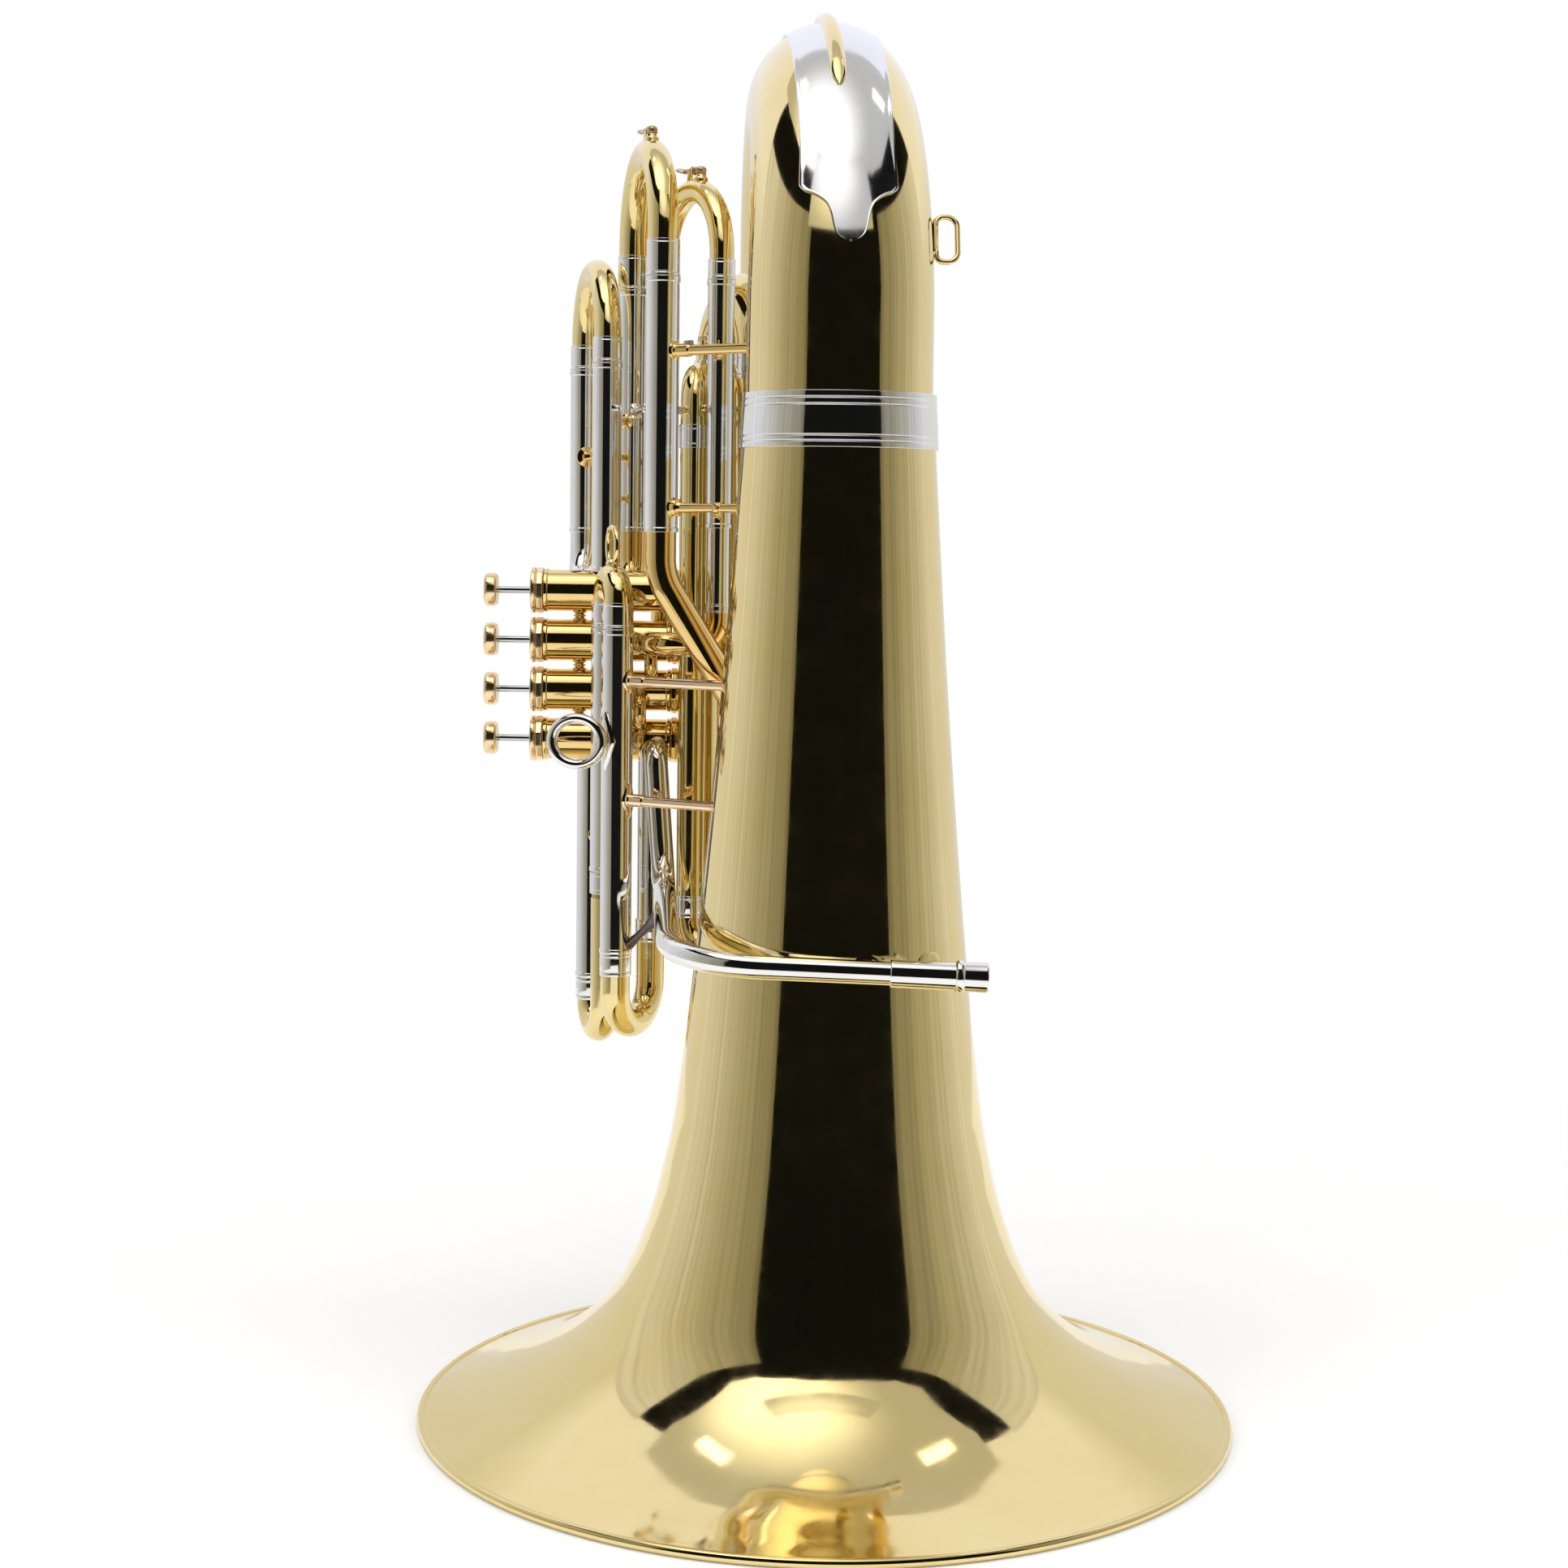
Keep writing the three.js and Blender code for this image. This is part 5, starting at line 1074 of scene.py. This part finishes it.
KNUCKLE_X = (-126.7, -119.5)
for number in range(1, 5):
    z = valve_z(number)
    base = at(VALVE_BASE_X, VALVE_Y, z)
    body = f"piston_{number}"
    tag = f"valve_{number}"
    piece(tag + "_casing_tube", casing_shape(base), "deep", [tag + "_casing"])
    piece(tag + "_top_cap_turned", top_cap_shape(base), "rose", [tag + "_top_cap"], sharp=math.radians(24))
    piece(tag + "_bottom_cap_turned", bottom_cap_shape(base), "deep", [tag + "_bottom_cap"],
          sharp=math.radians(24))
    piece(tag + "_piston_rod", piston_shape(base), "steel", [tag + "_piston"], body)
    piece(tag + "_button", button_shape(base), "rose", (), body)
    felt = [(93.1, 2.9), (93.1, 4.4), (93.9, 4.6), (94.5, 4.1), (94.5, 2.9)]
    piece(tag + "_felt", turned(soften(felt, 0.3), base, PLAYER, ROD_SIDES), "felt")
    spring = piece(tag + "_coil", spring_shape(base, -5.3, 28.7, 7.6, 0.8, 9), "steel", [tag + "_spring"])
    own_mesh(spring)
    if number < 4:
        gap_low = z + CASING_RADIUS
        gap_middle = z + VALVE_PITCH / 2
        piece(tag + "_baluster", baluster_shape(-168.5, gap_low), "deep")
        link = Route([at(-146, VALVE_Y, gap_low - 1), at(-146, VALVE_Y, gap_low + 6.7)])
        piece(tag + "_crossover", tube(link, even(link, 7.0)), "deep")
    if number < 3:
        across = KNUCKLE_X[number - 1]
        low, high = gap_middle - 4.5, gap_middle + 12
        knuckle = Route([at(across, 139, low), at(across, 127, low), at(across, 127, high),
                         at(across, 139, high)], 7.4)
        bend = tube(knuckle, even(knuckle, 4.4), ROD_SIDES)
        for near in (z, valve_z(number + 1)):
            bend = out_of_bore(bend, near, at(0, -1, 0))
        piece(tag + "_knuckle", bend, "deep")

# Leadpipe and receiver

PIPE_TURN = at(-96, -98, 299.9)
RECEIVER_END = at(90, -98, 293.8)
PIPE_WAY = between(PIPE_TURN, RECEIVER_END)


def on_pipe(x):
    return PIPE_TURN + PIPE_WAY * ((x - PIPE_TURN.x) / PIPE_WAY.x)


pipe = Route([at(-115.3, 138, 405.5), at(-115.3, 114, 405.5), at(-109, 114, 318), PIPE_TURN, on_pipe(44)],
             [13, 34, 60])
piece("leadpipe_tube", tube(pipe, [(0, 7.8), (pipe.length, 6.9)]), "nickel", ["leadpipe"])
receiver = [(0, 7.0), (0, 7.7), (0.7, 8.1), (37.6, 8.2), (38.0, 8.2), (38.5, 9.4), (39.8, 9.9), (41.2, 9.9),
            (42.5, 9.4), (43.0, 8.6), (56.0, 8.8), (57.0, 8.5), (57.0, 7.2), (56.2, 6.3), (13, 6.1), (13, 7.0)]
piece("receiver_sleeve", turned(soften(receiver, 0.35), on_pipe(33), PIPE_WAY, 72), "nickel",
      ["mouthpiece_receiver"])
for name, x, width in (("leadpipe", 21, 8.0), ("receiver", 58, 8.0)):
    start = on_pipe(x) + at(0, 6.2, 1.5)
    bell_y = -math.sqrt(bell_radius(start.z) ** 2 - x**2)
    azimuth = math.degrees(math.atan2(bell_y, x))
    piece(name + "_bracket", bar(start, at(x, bell_y + 0.4, start.z), RIGHT, width * 0.6, width, 1.1), "yellow")
    piece(name + "_bracket_foot", patch(BELL_AXIS, bell_radius, start.z, azimuth, 9.5, 6.0, 1.0), "yellow")

# The clamp's near-black finish is a painted dark reflection, not a dark steel.
clamp = Route([at(-130, 91, 280), at(-107, 57, 306)])
piece("leadpipe_clamp", tube(clamp, [(0, 3.4), (14, 2.6), (clamp.length - 22, 2.8), (clamp.length, 6.0)],
                             ROD_SIDES), "dark")

# Thumb ring

THUMB_Z = 413.5
ring_centre = at(-164.6, 82.4, THUMB_Z)
thumb = ring_shape(ring_centre, at(0.15, 1, 0).normalized(), 15.0, 3.3, 3.6, 72, squeeze=1.1)
piece("thumb_ring_loop", thumb, "nickel", ["thumb_ring"])
saddle = patch(FIRST_FRONT, lambda z: FIRST_RADIUS + 0.2, THUMB_Z, -134, 8.0, 19, 1.6, 1.05)
piece("thumb_ring_saddle", saddle, "nickel")

# Strap ring on the side of the main bow

STRAP_Z = 728.0
climb = math.asin((STRAP_Z - BOW_ARC_HEIGHT) / BOW_ARC)
bow_here = interpolate(BOW_MARKS, BOW_STRAIGHT + BOW_ARC * climb)[1]
strap_foot = at(0, 0, STRAP_Z) + ACROSS * (BOW_ARC * (1 - math.cos(climb))) + BOW_SIDE * (bow_here + 0.9)
strap_up = UP * math.cos(climb) + ACROSS * math.sin(climb)
piece("strap_plate", bar(strap_foot - strap_up * 10.5, strap_foot + strap_up * 10.5, ACROSS, 7.5, 7.5, 1.1, 3),
      "yellow")


def strap_spot(out, along):
    return strap_foot + BOW_SIDE * (out + 8.2) + strap_up * along


loop = Route([strap_spot(-6.6, 0), strap_spot(-6.6, 14.3), strap_spot(6.6, 14.3), strap_spot(6.6, -14.3),
              strap_spot(-6.6, -14.3), strap_spot(-6.6, 0)], [4.5, 6.5, 6.5, 4.5])
piece("strap_loop", tube(loop, even(loop, 1.75), SMALL_SIDES), "yellow", ["strap_ring"])

# Water keys


def water_key(prefix, a, b, height, bow_radius, body, slide_body, node):
    along = between(a, b)
    side = along.cross(UP)
    crown = height + (b - a).length / 2 + bow_radius
    middle = (a + b) / 2
    pin = at(middle.x, middle.y, crown + 5.6)
    seat = at(middle.x, middle.y, crown) - along * 10.88
    for name, way in (("near_ear", -1), ("far_ear", 1)):
        foot = at(middle.x, middle.y, crown - 1.5) + side * (way * 2.8)
        piece(f"{prefix}_{name}", bar(foot, foot + UP * 8.6, along, 4.6, 2.2, 0.7, 3), "yellow", (), slide_body)
    piece(prefix + "_pin", solid([(-3.9, 1.0), (3.9, 1.0)], pin, side, SMALL_SIDES, 0.3), "steel", (), slide_body)
    nipple = [(-4.5, 4.8), (-0.4, 4.6), (0.3, 3.9), (1.8, 3.4), (2.3, 3.0), (2.3, 1.4)]
    piece(prefix + "_nipple", solid(nipple, seat, UP, ROD_SIDES, 0.3), "yellow", (), slide_body)
    front = pin - along * 11.5 + UP * 0.9
    rear = pin + along * 14 + UP * 1.2
    piece(prefix + "_lever", bar(front, rear, side, 1.8, 1.6, 0.9, 3), "tan", [node], body)
    hub = [(-1.8, 2.4), (-1.5, 2.7), (1.5, 2.7), (1.8, 2.4)]
    piece(prefix + "_hub", solid(hub, pin, side, ROD_SIDES, 0.3), "tan", (), body)
    cup = [(2.9, 3.0), (3.6, 3.5), (5.4, 3.6), (6.4, 3.1), (7.3, 1.7)]
    piece(prefix + "_cup", solid(cup, seat, UP, ROD_SIDES, 0.5), "tan", (), body)
    cork = [(2.32, 3.0), (2.32, 3.4), (3.4, 3.5)]
    piece(prefix + "_cork", solid(cork, seat, UP, ROD_SIDES, 0.15), "cork", (), body)
    tilt = math.radians(22)
    plate_centre = pin + along * 17 + UP * 1.6
    plate = [(-0.8, 4.2), (-0.5, 4.9), (0.3, 4.9), (0.7, 4.3), (0.5, 2.4)]
    plate_normal = UP * math.cos(tilt) - along * math.sin(tilt)
    piece(prefix + "_plate", solid(plate, plate_centre, plate_normal, ROD_SIDES, 0.3), "tan", (), body)


water_key("main_water_key", MAIN_NEAR, MAIN_FAR, MAIN_BOW_Z, MAIN_RADIUS - 0.8, "water_key_main_body",
          "main_slide_body", "water_key_main")
water_key("third_water_key", THIRD_RIGHT, THIRD_LEFT, THIRD_BOW_Z, THIRD_RADIUS - 0.8, "water_key_third_body",
          "third_slide_body", "water_key_third")

# Braces


def reach_to(start, way, radius_at):
    """Distance along a level line until it meets an upright round surface on the bell's axis."""
    low, high = 0.0, math.hypot(start.x, start.y)
    for _ in range(40):
        middle = (low + high) / 2
        spot = start + way * middle
        if math.hypot(spot.x, spot.y) > radius_at(start.z):
            low = middle
        else:
            high = middle
    return low


def bow_or_bell(z):
    return bell_radius(z) if z < BELL_HEIGHT else BOW_START


BELL_SIDE = at(-29.1, 29.1, 0)


def brace(prefix, from_axis, radius, z, kind, finish, node, foot=(8.5, 8.5, 2.0), end=(7.5, 9.5, 2.0)):
    """A turned rod from a tube to the bell's side, with a flange on each."""
    way = between(from_axis, BELL_SIDE)
    start = level(from_axis, z) + way * radius
    length = reach_to(start, way, bow_or_bell)
    finish_at = start + way * length
    if kind == "post":
        profile = [(-0.6, 5.6), (3, 5.6), (4, 4.4), (6, 3.4), (length / 2 - 2.5, 2.7), (length / 2 - 1.6, 3.7),
                   (length / 2 + 1.6, 3.7), (length / 2 + 2.5, 2.7), (length - 6, 3.4), (length - 4, 4.4),
                   (length - 3, 5.6), (length + 0.8, 5.6)]
    else:
        profile = [(-0.6, 4.9), (1.2, 4.9), (1.8, 4.2), (11, 4.2), (11.4, 3.8), (12, 3.4), (length - 8, 3.2),
                   (length - 7.4, 3.9), (length - 5.5, 4.4), (length - 3.6, 3.9), (length - 3, 3.2),
                   (length - 1.5, 4.6), (length + 0.8, 4.6)]
    piece(prefix + "_rod", solid(profile, start, way, ROD_SIDES, 0.5), finish, [node])
    azimuth = math.degrees(math.atan2(way.y, way.x))
    piece(prefix + "_tube_foot",
          patch(from_axis, lambda h: radius - 0.1, z, azimuth, foot[0], foot[1], 1.3, foot[2]), finish)
    azimuth = math.degrees(math.atan2(finish_at.y, finish_at.x))
    piece(prefix + "_bell_foot",
          patch(BELL_AXIS, bow_or_bell, z, azimuth, end[0], end[1], 1.3, end[2]), finish)


brace("upper_brace", MAIN_NEAR, MAIN_RADIUS, 664, "rod", "deep", "brace_upper", foot=(6, 6, 2.0))
brace("turned_brace", MAIN_NEAR, MAIN_RADIUS, 564.6, "post", "deep", "brace_turned", foot=(6.5, 6.5, 2.0))
brace("valve_brace", FIRST_FRONT, FIRST_RADIUS, 452.5, "rod", "copper", "brace_valves", foot=(6.5, 8, 1.6))
brace("lower_brace", FIRST_FRONT, FIRST_RADIUS, 375, "rod", "copper", "brace_lower", foot=(6.5, 12, 1.3))

upper_way = between(MAIN_NEAR, BELL_SIDE)
for name, place, height, finish in (("near_wing_screw", 10, 7.5, "steel"), ("far_wing_screw", 21, 9.5, "rose")):
    foot = level(MAIN_NEAR, 664) + upper_way * (MAIN_RADIUS + place)
    shank = [(2.0, 1.5), (height - 3.5, 1.5), (height - 3.0, 2.2), (height - 2.0, 2.2)]
    piece(name, solid(shank, foot, UP, SMALL_SIDES, 0.2), finish)
    piece(name + "_wings", bar(foot + UP * (height - 3) - upper_way * 3.6,
                               foot + UP * (height - 3) + upper_way * 3.6, UP, 1.6, height * 0.24, 0.9, 2.2), finish)


def post(name, a, b, radius_a, radius_b, z, finish, nodes=(), thick=2.7, flange=5.4):
    """A turned post between two upright tubes."""
    way = between(a, b)
    start = level(a, z) + way * (radius_a - 0.4)
    length = (b - a).length - radius_a - radius_b + 0.8
    collar = min(1.6, length * 0.16)
    profile = [(0, flange), (collar, flange), (collar * 1.5, thick + 0.6), (collar * 2.4, thick),
               (length / 2 - 1.2, thick), (length / 2 - 0.7, thick + 0.9), (length / 2 + 0.7, thick + 0.9),
               (length / 2 + 1.2, thick), (length - collar * 2.4, thick), (length - collar * 1.5, thick + 0.6),
               (length - collar, flange), (length, flange)]
    if length < 16:
        profile = [(0, flange), (collar, flange), (collar * 1.6, thick), (length - collar * 1.6, thick),
                   (length - collar, flange), (length, flange)]
    piece(name, solid(profile, start, way, ROD_SIDES, 0.35), finish, nodes)


BACK_Z = (LOWER_BOW_Z + INNER_BOW_Z) / 2
post("branch_brace", INNER, OUTER_AXIS, 25.75, 38.75, BACK_Z, "yellow", ["brace_branches"])
post("bell_branch_brace", THIRD, BELL_AXIS, 16.75, bell_radius(BACK_Z), BACK_Z, "yellow", ["brace_bell_branch"])
post("main_slide_post", MAIN_NEAR, MAIN_FAR, MAIN_RADIUS, MAIN_RADIUS, 629.9, "nickel")
post("fourth_slide_post", FOURTH_NEAR, FOURTH_FAR, FOURTH_RADIUS, FOURTH_RADIUS, 600, "deep", flange=7)
post("slide_link_upper", FOURTH_NEAR, MAIN_FAR, FOURTH_RADIUS, MAIN_RADIUS, 571, "deep", thick=1.6, flange=3)
post("slide_link_lower", FOURTH_NEAR, MAIN_FAR, FOURTH_RADIUS, MAIN_RADIUS, 623, "deep", flange=5)
post("third_slide_post", THIRD_RIGHT, THIRD_LEFT, THIRD_RADIUS, THIRD_RADIUS, 629.9, "nickel")
post("first_slide_post", FIRST_FRONT, FIRST_MIDDLE, FIRST_RADIUS, FIRST_RADIUS, 440, "deep", flange=4.5)
post("first_low_post", FIRST_MIDDLE, FIRST_LEFT, FIRST_RADIUS, FIRST_RADIUS, 345, "deep", flange=5.5)

# Studio


def stage_plane(name, corners, material):
    mesh = bpy.data.meshes.new(name)
    mesh.from_pydata([tuple(corner) for corner in corners], [], [tuple(range(len(corners)))])
    mesh.materials.append(material)
    obj = bpy.data.objects.new(name, mesh)
    bpy.context.scene.collection.objects.link(obj)
    return obj


def plain(name, colour, rough):
    material, _, shader = node_tree(name)
    shader.inputs["Base Color"].default_value = (*colour, 1)
    shader.inputs["Roughness"].default_value = rough
    return material


FLOOR_HALF = 8.0
FADE_START, FADE_END = 0.45, 1.3


def floor_material():
    """White floor that keeps the shadow near the horn and turns to plain white further out."""
    material, tree, shader = node_tree("white_floor")
    shader.inputs["Base Color"].default_value = (0.95, 0.95, 0.95, 1)
    shader.inputs["Roughness"].default_value = 0.95
    coords = tree.nodes.new("ShaderNodeTexCoord")
    distance = tree.nodes.new("ShaderNodeVectorMath")
    distance.operation = "LENGTH"
    tree.links.new(coords.outputs["Object"], distance.inputs[0])
    fade = tree.nodes.new("ShaderNodeMapRange")
    fade.interpolation_type = "SMOOTHSTEP"
    fade.inputs["From Min"].default_value = FADE_START
    fade.inputs["From Max"].default_value = FADE_END
    tree.links.new(distance.outputs["Value"], fade.inputs["Value"])
    glow = tree.nodes.new("ShaderNodeEmission")
    blend = tree.nodes.new("ShaderNodeMixShader")
    tree.links.new(fade.outputs["Result"], blend.inputs["Fac"])
    tree.links.new(shader.outputs["BSDF"], blend.inputs[1])
    tree.links.new(glow.outputs["Emission"], blend.inputs[2])
    tree.links.new(blend.outputs["Shader"], tree.nodes["Material Output"].inputs["Surface"])
    return material


stage_plane("studio_floor", [(-FLOOR_HALF, -FLOOR_HALF, 0), (FLOOR_HALF, -FLOOR_HALF, 0),
                             (FLOOR_HALF, FLOOR_HALF, 0), (-FLOOR_HALF, FLOOR_HALF, 0)], floor_material())
PAPER_REACH, SHELL_REACH = 1.2, 1.55
DARK_LEFT, DARK_RIGHT, PAPER_END = -40.0, 47.0, 118.0
PAPER_TOP, CEILING_Z, SHELL_TOP = 1.46, 2.27, 3.4
CEILING = [(0, 1.24), (25, 1.3), (48, 1.44), (65, 1.48), (110, 1.4), (128, 1.5), (140, 1.3), (150, 1.1),
           (165, 0.9), (180, 0.82)]


WALL_COLOURS = ((0.27, 0.26, 0.2), (0.52, 0.51, 0.44), (0.86, 0.87, 0.95))


def shining(tree, colour):
    glow = tree.nodes.new("ShaderNodeEmission")
    tree.links.new(colour, glow.inputs["Color"])
    tree.links.new(glow.outputs["Emission"], tree.nodes["Material Output"].inputs["Surface"])


def glow_material(name, strength):
    """A lit sheet whose brightness drifts and falls in soft upright folds."""
    material, tree, shader = node_tree(name)
    folds = noise(tree, 1.0, 4, 0.6, (9, 9, 0.25))
    shades = ramp(tree, folds, strength * 0.8, strength, 0.3, 0.7)
    shining(tree, shades)
    return material


def spot_material(name, centre, near, far, bright, dim):
    """A sheet lit by one lamp: bright at a spot and dimmer further off."""
    material, tree, shader = node_tree(name)
    coords = tree.nodes.new("ShaderNodeTexCoord")
    offset = tree.nodes.new("ShaderNodeVectorMath")
    offset.operation = "DISTANCE"
    offset.inputs[1].default_value = centre
    tree.links.new(coords.outputs["Object"], offset.inputs[0])
    fade = tree.nodes.new("ShaderNodeMapRange")
    fade.interpolation_type = "SMOOTHERSTEP"
    for socket, value in (("From Min", near), ("From Max", far), ("To Min", bright), ("To Max", dim)):
        fade.inputs[socket].default_value = value
    tree.links.new(offset.outputs["Value"], fade.inputs["Value"])
    shining(tree, fade.outputs["Result"])
    return material


def rear_material(name, low, high, dim, bright):
    """A wall lit from above: one colour below the first height, another above the second."""
    material, tree, shader = node_tree(name)
    coords = tree.nodes.new("ShaderNodeTexCoord")
    split = tree.nodes.new("ShaderNodeSeparateXYZ")
    tree.links.new(coords.outputs["Object"], split.inputs["Vector"])
    rise = tree.nodes.new("ShaderNodeMapRange")
    rise.inputs["From Min"].default_value = low
    rise.inputs["From Max"].default_value = high
    tree.links.new(split.outputs["Z"], rise.inputs["Value"])
    shining(tree, ramp(tree, rise.outputs["Result"], dim, bright, 0.0, 1.0))
    return material


def side_wall_material(name, start, end):
    """A paper wall, dim beside the dark opening and bright further round."""
    material, tree, shader = node_tree(name)
    coords = tree.nodes.new("ShaderNodeTexCoord")
    split = tree.nodes.new("ShaderNodeSeparateXYZ")
    tree.links.new(coords.outputs["Object"], split.inputs["Vector"])
    angle = tree.nodes.new("ShaderNodeMath")
    angle.operation = "ARCTAN2"
    away = tree.nodes.new("ShaderNodeMath")
    away.operation = "MULTIPLY"
    away.inputs[1].default_value = -1
    tree.links.new(split.outputs["Y"], away.inputs[0])
    tree.links.new(split.outputs["X"], angle.inputs[0])
    tree.links.new(away.outputs[0], angle.inputs[1])
    reach = tree.nodes.new("ShaderNodeMapRange")
    reach.inputs["From Min"].default_value = math.radians(start)
    reach.inputs["From Max"].default_value = math.radians(end)
    tree.links.new(angle.outputs[0], reach.inputs["Value"])
    shades = tree.nodes.new("ShaderNodeValToRGB")
    shades.color_ramp.elements.new(0.45)
    for element, colour in zip(shades.color_ramp.elements, WALL_COLOURS):
        element.color = (*colour, 1)
    tree.links.new(reach.outputs["Result"], shades.inputs["Fac"])
    folds = noise(tree, 1.0, 5, 0.65, (16, 16, 0.3))
    streaks = ramp(tree, folds, 0.72, 1.0, 0.35, 0.65)
    product = tree.nodes.new("ShaderNodeVectorMath")
    product.operation = "MULTIPLY"
    tree.links.new(streaks, product.inputs[0])
    tree.links.new(shades.outputs["Color"], product.inputs[1])
    shining(tree, product.outputs["Vector"])
    return material


def reflected_only(obj):
    """A studio sheet that shows in reflections and nowhere else."""
    obj.visible_camera = False
    obj.visible_diffuse = False
    obj.visible_shadow = False


def round_the_horn(azimuth, reach, z):
    turn = math.radians(azimuth)
    return reach * math.sin(turn), -reach * math.cos(turn), z


def studio_wall(name, reach, start, end, low, high, material):
    """Part of a round wall about the horn; angles run from the front to the right."""
    steps = max(2, round(abs(end - start) / 4))
    points, faces = [], []
    for i in range(steps + 1):
        points.extend(round_the_horn(mix(start, end, i / steps), reach, z) for z in (low, high))
    for i in range(steps):
        faces.append((2 * i, 2 * i + 1, 2 * i + 3, 2 * i + 2))
    mesh = bpy.data.meshes.new(name)
    mesh.from_pydata(points, [], faces)
    mesh.materials.append(material)
    obj = bpy.data.objects.new(name, mesh)
    bpy.context.scene.collection.objects.link(obj)
    reflected_only(obj)


studio_wall("dark_room", SHELL_REACH, -PAPER_END, PAPER_END, 0, SHELL_TOP, glow_material("black_cloth", 0.008))
studio_wall("left_paper", PAPER_REACH, -PAPER_END, DARK_LEFT, 0, PAPER_TOP,
            side_wall_material("left_paper", DARK_LEFT, -105))
studio_wall("right_paper", PAPER_REACH, DARK_RIGHT, PAPER_END, 0, PAPER_TOP,
            side_wall_material("right_paper", DARK_RIGHT, 110))
studio_wall("rear_paper", SHELL_REACH, PAPER_END, 360 - PAPER_END, 0, SHELL_TOP,
            rear_material("bright_paper", 0.95, 1.3, (0.78, 0.78, 0.77), (0.97, 0.98, 1.1)))
edge = [round_the_horn(azimuth, reach, CEILING_Z) for azimuth, reach in CEILING]
edge += [(-x, y, z) for x, y, z in edge[-2:0:-1]]
ceiling_spot = (-0.55, -0.7, CEILING_Z)
reflected_only(stage_plane("ceiling_sheet", edge,
                           spot_material("ceiling_paper", ceiling_spot, 0.15, 1.5, 1.9, 0.58)))
studio_wall("front_softbox", 0.5, -42, 38, 0.96, 1.45,
            spot_material("softbox_cloth", (-0.1, -0.49, 1.3), 0.1, 0.45, 1.3, 0.6))
for name, x, y in (("left_lamp_glow", -0.75, 0.34), ("right_lamp_glow", 0.83, 0.32)):
    corners = [(x - 0.15, y - 0.1), (x + 0.15, y - 0.07), (x + 0.13, y + 0.09), (x - 0.16, y + 0.06)]
    reflected_only(stage_plane(name, [(*corner, CEILING_Z - 0.1) for corner in corners],
                               glow_material(name + "_cloth", 3.0)))

world = bpy.data.worlds.new("studio_world")
world.use_nodes = True
bpy.context.scene.world = world
nodes, links = world.node_tree.nodes, world.node_tree.links
background = nodes["Background"]
background.inputs["Color"].default_value = (1, 1, 1, 1)
rays = nodes.new("ShaderNodeLightPath")
seen = nodes.new("ShaderNodeMath")
seen.operation = "MAXIMUM"
links.new(rays.outputs["Is Camera Ray"], seen.inputs[0])
links.new(rays.outputs["Is Glossy Ray"], seen.inputs[1])
through = nodes.new("ShaderNodeMath")
through.operation = "MAXIMUM"
links.new(seen.outputs[0], through.inputs[0])
links.new(rays.outputs["Is Transmission Ray"], through.inputs[1])
level_mix = nodes.new("ShaderNodeMapRange")
level_mix.inputs["To Min"].default_value = 0.75
level_mix.inputs["To Max"].default_value = 1.0
links.new(through.outputs[0], level_mix.inputs["Value"])
links.new(level_mix.outputs["Result"], background.inputs["Strength"])


def lamp(name, spot, target, size, power):
    data = bpy.data.lights.new(name, "AREA")
    data.shape = "RECTANGLE"
    data.size, data.size_y = size
    data.energy = power
    obj = bpy.data.objects.new(name, data)
    obj.location = spot
    obj.rotation_euler = (Vector(target) - Vector(spot)).to_track_quat("-Z", "Y").to_euler()
    obj.visible_glossy = False
    bpy.context.scene.collection.objects.link(obj)
    return obj


lamp("left_softbox", (-2.4, -1.6, 1.6), (0, 0, 0.4), (1.2, 1.8), 22)
lamp("right_softbox", (2.6, -1.4, 1.5), (0, 0, 0.4), (1.2, 1.8), 22)
lamp("top_softbox", (0, -0.4, 3.0), (0, 0, 0.3), (2.0, 2.0), 24)

# Camera at the photograph's own viewing angle

PITCH = math.radians(5.651)
ROLL = math.radians(0.787)
forward = Vector((0, math.cos(PITCH), -math.sin(PITCH)))
level_right = Vector((1, 0, 0))
level_up = Vector((0, math.sin(PITCH), math.cos(PITCH)))
right = level_right * math.cos(ROLL) + level_up * math.sin(ROLL)
upward = level_up * math.cos(ROLL) - level_right * math.sin(ROLL)
camera_data = bpy.data.cameras.new("photo_camera")
camera_data.sensor_width = 36
camera_data.lens = 59.255
camera_data.clip_end = 50
camera = bpy.data.objects.new("photo_camera", camera_data)
rotation = Matrix((right, upward, -forward)).transposed()
camera.matrix_world = Matrix.Translation(ORIGIN + at(-30.24, -1580.91, 552.3) * MM) @ rotation.to_4x4()
bpy.context.scene.collection.objects.link(camera)
bpy.context.scene.camera = camera
bpy.context.scene.view_settings.view_transform = "Standard"
